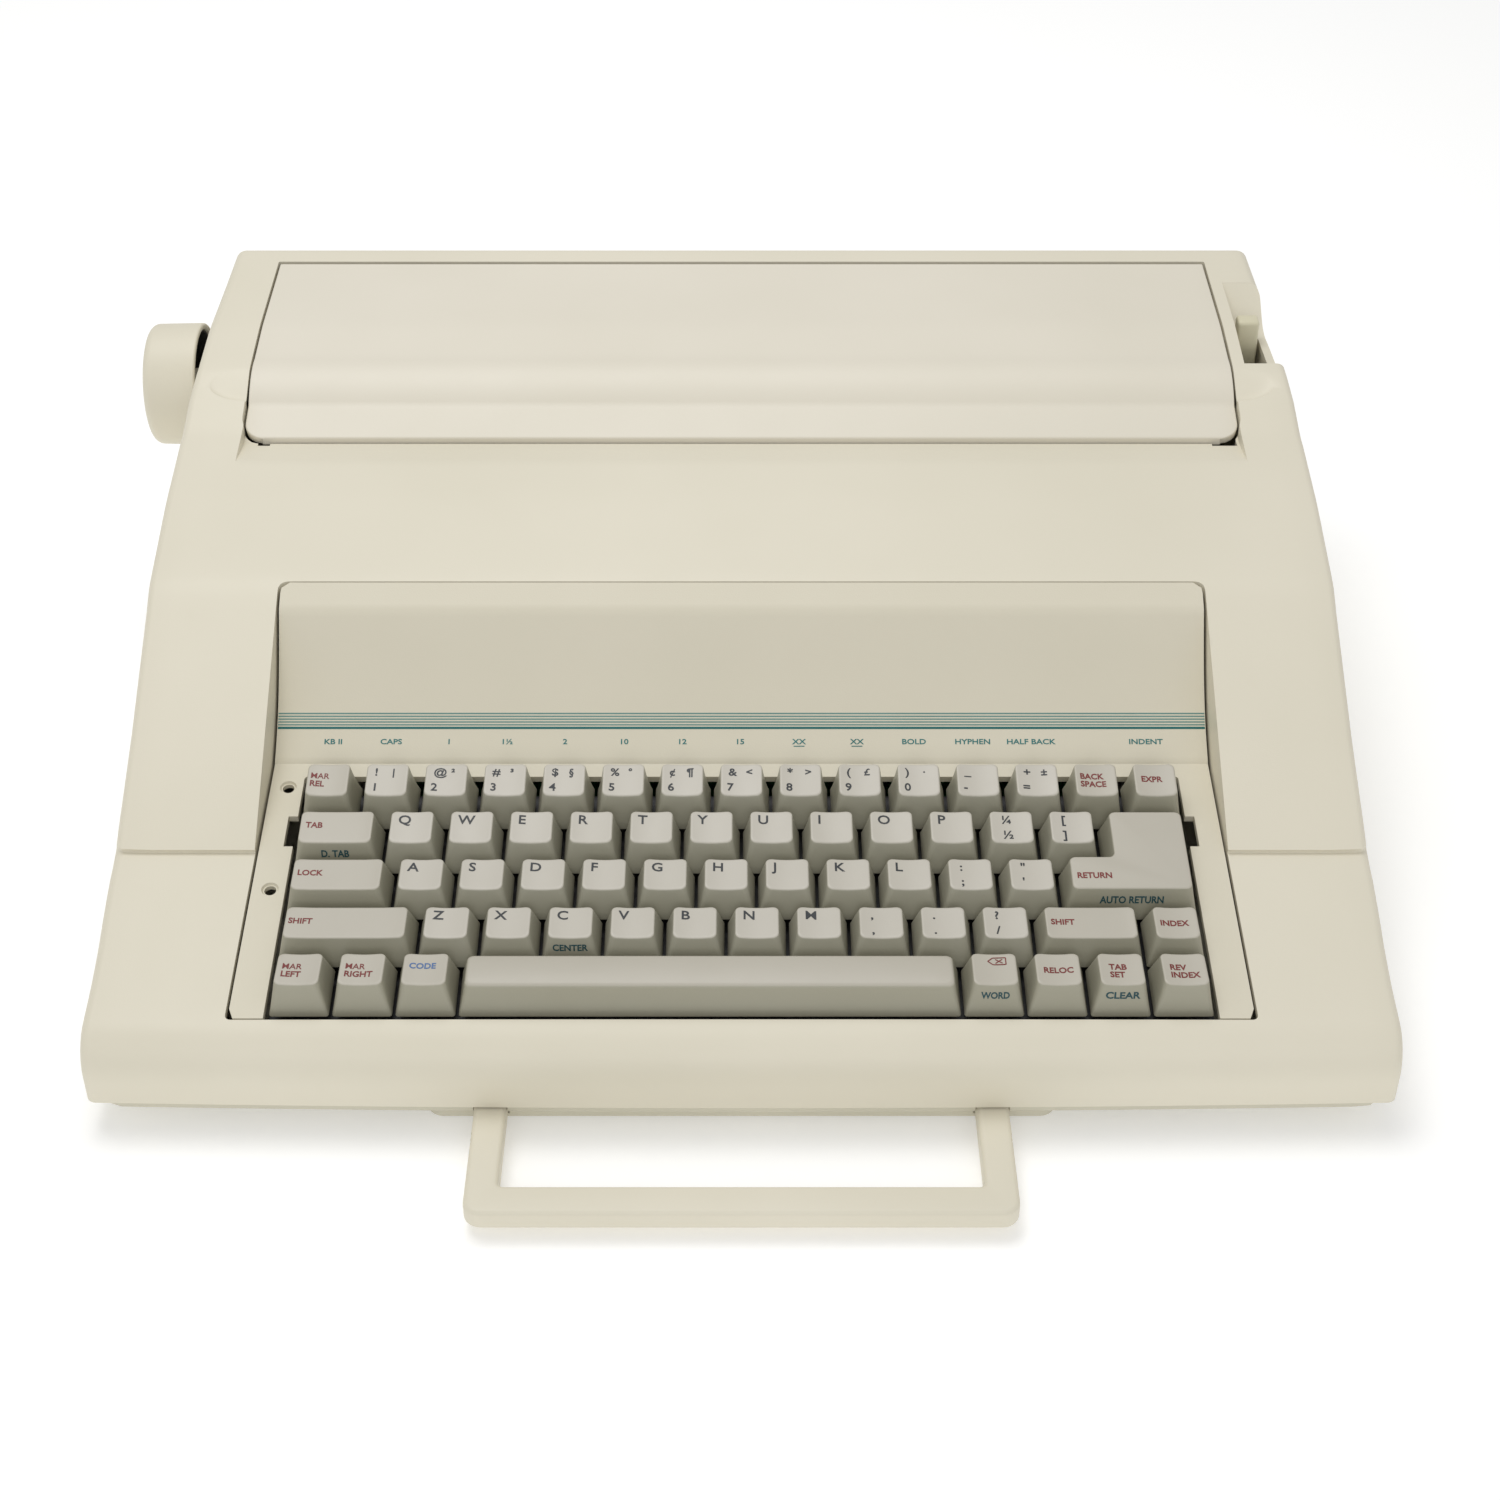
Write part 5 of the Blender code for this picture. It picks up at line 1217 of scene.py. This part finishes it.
def soft_block(outline, low, high, top_round, bottom_round, steps=5):
    """Rings of an anticlockwise outline carried up, drawn in at both ends by quarter arcs."""
    runs = np.roll(outline, -1, axis=0) - outline
    runs = runs / np.maximum(np.hypot(*runs.T), 1e-9)[:, None]
    inward = np.stack([-runs[:, 1], runs[:, 0]], axis=1)
    mean = inward + np.roll(inward, 1, axis=0)
    mean = mean / (1 + np.sum(inward * np.roll(inward, 1, axis=0), axis=1))[:, None]
    turn = np.linspace(0, math.pi / 2, steps + 1)
    levels = [(bottom_round * (1 - math.sin(a)), low + bottom_round * (1 - math.cos(a))) for a in turn]
    levels += [(top_round * (1 - math.cos(a)), high - top_round * (1 - math.sin(a))) for a in turn]
    return [(outline + mean * inset, z) for inset, z in levels]


class TYPEWRITER_OT_lever(Operator):
    """Builds the paper release lever: a soft-edged blade that leans into its pivot boss"""

    bl_idname = "typewriter.lever"
    bl_label = "Paper release lever"

    def execute(self, context):
        low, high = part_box("paper_release_lever")
        x0, x1 = low.x - ORIGIN[0], high.x - ORIGIN[0]
        y0 = 0.2452
        side = filleted([(y0, 0.052), (0.2530, 0.052), (0.2530, 0.1080), (0.2530, high.z),
                         (0.2462, high.z - 0.0008),
                         (y0, 0.1080)], [0.003, 0.003, 0, 0.0022, 0.0016, 0.02], steps=6, closed=True)
        rings = [machine(z, *(outline.T)) for outline, z in soft_block(side, x0, x1, 0.0011, 0.0011)]
        blade = mesh_of("lever_blade", *stacked(rings))
        boss = prism("boss", ring(0.008, 40) + LEVER_PIVOT, x0, x1, axis="X")
        hole = prism("bore", ring(0.0029, 24) + LEVER_PIVOT, x0 - 0.01, x1 + 0.01, axis="X")
        mesh = carved(carved(blade, [boss], "UNION"), [hole])
        look = material("lever_moulding", np.array(settings().case.colour) * (0.90, 0.90, 0.80),
                        roughness=0.42, grain=0.12, grain_size=2000, mottle=0.04, patch=30.0, dirt=0.12)
        piece("release_lever", mesh, look, "release", ("paper_release_lever",), angle=35)
        return {"FINISHED"}


class TYPEWRITER_OT_handle(Operator):
    """Builds the pull-out carry handle: a U in plan with full-round edges and small stop marks on its arms"""

    bl_idname = "typewriter.handle"
    bl_label = "Carry handle"

    def execute(self, context):
        low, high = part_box("carry_handle")
        out = (high.x - low.x) / 2
        front, rear = low.y - ORIGIN[1], high.y - ORIGIN[1]
        arm, grip = 0.0098, 0.0108
        plan = filleted(
            [(-out, rear), (-out, front), (out, front), (out, rear), (out - arm, rear),
             (out - arm, front + grip), (-out + arm, front + grip), (-out + arm, rear)],
            [0.0030, 0.0052, 0.0052, 0.0030, 0.0030, 0.0016, 0.0016, 0.0030], steps=7, closed=True,
        )
        plan = plan[np.hypot(*(np.roll(plan, -1, axis=0) - plan).T) > 1e-7]
        rings = [machine(*outline.T, z) for outline, z in soft_block(plan, low.z, high.z, 0.0015, 0.0012, 7)]
        mesh = mesh_of("handle", *stacked(rings))
        marks = []
        for k, side in enumerate((-1, 1)):
            for j, y in enumerate((-0.0685, -0.0660)):
                spot = side * (out + 0.0004)
                marks.append(prism(f"mark_{k}{j}", box_outline(spot - 0.0008, y, spot + 0.0008, y + 0.0012),
                                   0.006, 0.013))
        mesh = carved(mesh, marks)
        look = material("case_moulding", settings().case.colour)
        piece("handle_bar", mesh, look, "handle", ("carry_handle",), angle=35)
        return {"FINISHED"}


FINISHES = {
    "steel": (("platen_shaft", "front_rail", "rear_rail", "hammer"),
              dict(colour=(0.62, 0.62, 0.63), roughness=0.28, metallic=1.0, grain=0.05, grain_size=900,
                   mottle=0.08)),
    "zinc_plate": (("left_side_plate", "right_side_plate"),
                   dict(colour=(0.56, 0.56, 0.55), roughness=0.42, metallic=1.0, grain=0.08, grain_size=400,
                        mottle=0.16, patch=60.0)),
    "motor_can": (("print_wheel_motor", "line_feed_motor", "carriage_motor"),
                  dict(colour=(0.50, 0.50, 0.50), roughness=0.36, metallic=1.0, grain=0.05, grain_size=700,
                       mottle=0.10, patch=50.0)),
    "roller_rubber": (("platen_roller", "pressure_roller"),
                      dict(colour=(0.022, 0.022, 0.023), roughness=0.72, grain=0.35, grain_size=2600,
                           mottle=0.25, patch=40.0)),
    "foot_rubber": (("front_foot_strip", "rear_foot_strip", "carriage_belt"),
                    dict(colour=(0.03, 0.03, 0.03), roughness=0.85, grain=0.4, grain_size=1200, mottle=0.3,
                         patch=50.0, dirt=0.2)),
    "black_moulding": (("carriage", "ribbon_cassette", "print_wheel", "cord_gland", "key_frame"),
                       dict(colour=(0.028, 0.028, 0.03), roughness=0.50, grain=0.25, grain_size=1800,
                            mottle=0.2, patch=40.0)),
    "gear_nylon": (("platen_gear", "line_feed_pinion", "drive_pulley", "idler_pulley"),
                   dict(colour=(0.80, 0.80, 0.76), roughness=0.40, grain=0.06, grain_size=1500, mottle=0.05)),
    "board_lacquer": (("main_board",), dict(colour=(0.03, 0.20, 0.07), roughness=0.32, grain=0.12,
                                            grain_size=600, mottle=0.35, patch=220.0, coat=0.4)),
    "transformer_iron": (("power_transformer",), dict(colour=(0.30, 0.24, 0.13), roughness=0.45, metallic=0.4,
                                                      grain=0.4, grain_size=900, mottle=0.2, patch=120.0)),
}


class TYPEWRITER_OT_mechanism(Operator):
    """Gives the frame's own mechanism parts their metal, rubber and moulded finishes"""

    bl_idname = "typewriter.mechanism"
    bl_label = "Mechanism finishes"

    def execute(self, context):
        for name, (nodes, look) in FINISHES.items():
            made = material(name, **look)
            for node in nodes:
                obj = frame["nodes"][node]
                obj.data.materials.clear()
                obj.data.materials.append(made)
        return {"FINISHED"}


# --- stage ------------------------------------------------------------------

AIM = (0.0, 0.0, 0.05)
CAMERA_BACK, CAMERA_HEIGHT = 0.5669, 0.5351
SENSOR_WIDTH, FOCAL_RATIO = 36.0, 2401.0 / 1500.0
LENS_SHIFT = (0.0057, -0.0067)


def area_light(name, place, size, power):
    """A soft rectangular light aimed at the middle of the machine."""
    data = bpy.data.lights.new(name, "AREA")
    data.shape = "RECTANGLE"
    data.size, data.size_y = size
    data.energy = power
    light = bpy.data.objects.new(name, data)
    bpy.context.scene.collection.objects.link(light)
    light.location = place
    towards = (np.array(AIM) - np.array(place)).tolist()
    light.rotation_euler = Vector(towards).to_track_quat("-Z", "Y").to_euler()


class TYPEWRITER_OT_stage(Operator):
    """Lays the pale floor, hangs the soft lights and sets the camera over the front of the machine"""

    bl_idname = "typewriter.stage"
    bl_label = "Stage"

    def execute(self, context):
        s = settings().stage
        bm = bmesh.new()
        bmesh.ops.create_grid(bm, x_segments=2, y_segments=2, size=6.0)
        mesh = bpy.data.meshes.new("floor")
        bm.to_mesh(mesh)
        bm.free()
        floor = bpy.data.objects.new("floor", mesh)
        context.scene.collection.objects.link(floor)
        mesh.materials.append(material("floor_paper", s.floor_colour, roughness=0.9, mottle=0.004, patch=2.0,
                                       specular=0.0, glow=0.22))
        world = bpy.data.worlds.new("studio")
        world.use_nodes = True
        world.node_tree.nodes["Background"].inputs["Color"].default_value = (1, 1, 1, 1)
        world.node_tree.nodes["Background"].inputs["Strength"].default_value = s.world_strength
        context.scene.world = world
        area_light("softbox", (-0.25, 0.35, 1.5), (1.0, 0.8), s.key_power)
        area_light("fill", (0.0, -1.6, 0.9), (1.2, 0.8), s.key_power * 0.6)
        context.scene.view_settings.view_transform = "Standard"
        data = bpy.data.cameras.new("camera")
        data.sensor_width = SENSOR_WIDTH
        data.lens = SENSOR_WIDTH * FOCAL_RATIO
        data.shift_x, data.shift_y = LENS_SHIFT
        data.clip_start, data.clip_end = 0.05, 20.0
        camera = bpy.data.objects.new("camera", data)
        context.scene.collection.objects.link(camera)
        camera.location = (ORIGIN[0], ORIGIN[1] - CAMERA_BACK, CAMERA_HEIGHT)
        camera.rotation_euler = (math.pi / 2 - s.pitch, 0, 0)
        context.scene.camera = camera
        return {"FINISHED"}


class TypewriterSettings(PropertyGroup):
    case: PointerProperty(type=CaseSettings)
    lid: PointerProperty(type=LidSettings)
    surround: PointerProperty(type=SurroundSettings)
    keys: PointerProperty(type=KeySettings)
    stage: PointerProperty(type=StageSettings)


STEPS = (TYPEWRITER_OT_stage, TYPEWRITER_OT_case, TYPEWRITER_OT_tray, TYPEWRITER_OT_lid,
         TYPEWRITER_OT_surround,
         TYPEWRITER_OT_panel_labels, TYPEWRITER_OT_keys, TYPEWRITER_OT_legends, TYPEWRITER_OT_knob,
         TYPEWRITER_OT_lever, TYPEWRITER_OT_handle, TYPEWRITER_OT_mechanism)


class TYPEWRITER_PT_sidebar(Panel):
    """Lists the pieces of the typewriter"""

    bl_idname = "TYPEWRITER_PT_sidebar"
    bl_label = "Typewriter"
    bl_space_type = "VIEW_3D"
    bl_region_type = "UI"
    bl_category = "Typewriter"

    def draw(self, context):
        for step in STEPS:
            self.layout.operator(step.bl_idname)
        groups = settings()
        for group in (groups.case, groups.lid, groups.surround, groups.keys, groups.stage):
            box = self.layout.box()
            for key in group.bl_rna.properties.keys():
                if key not in ("rna_type", "name"):
                    box.prop(group, key)


CLASSES = (CaseSettings, LidSettings, SurroundSettings, KeySettings, StageSettings, TypewriterSettings,
           *STEPS, TYPEWRITER_PT_sidebar)


def register():
    for cls in CLASSES:
        bpy.utils.register_class(cls)
    bpy.types.Scene.typewriter = PointerProperty(type=TypewriterSettings)


def unregister():
    del bpy.types.Scene.typewriter
    for cls in reversed(CLASSES):
        bpy.utils.unregister_class(cls)


def main():
    register()
    for step in STEPS:
        group, name = step.bl_idname.split(".")
        getattr(getattr(bpy.ops, group), name)()


if __name__ == "__main__":
    main()
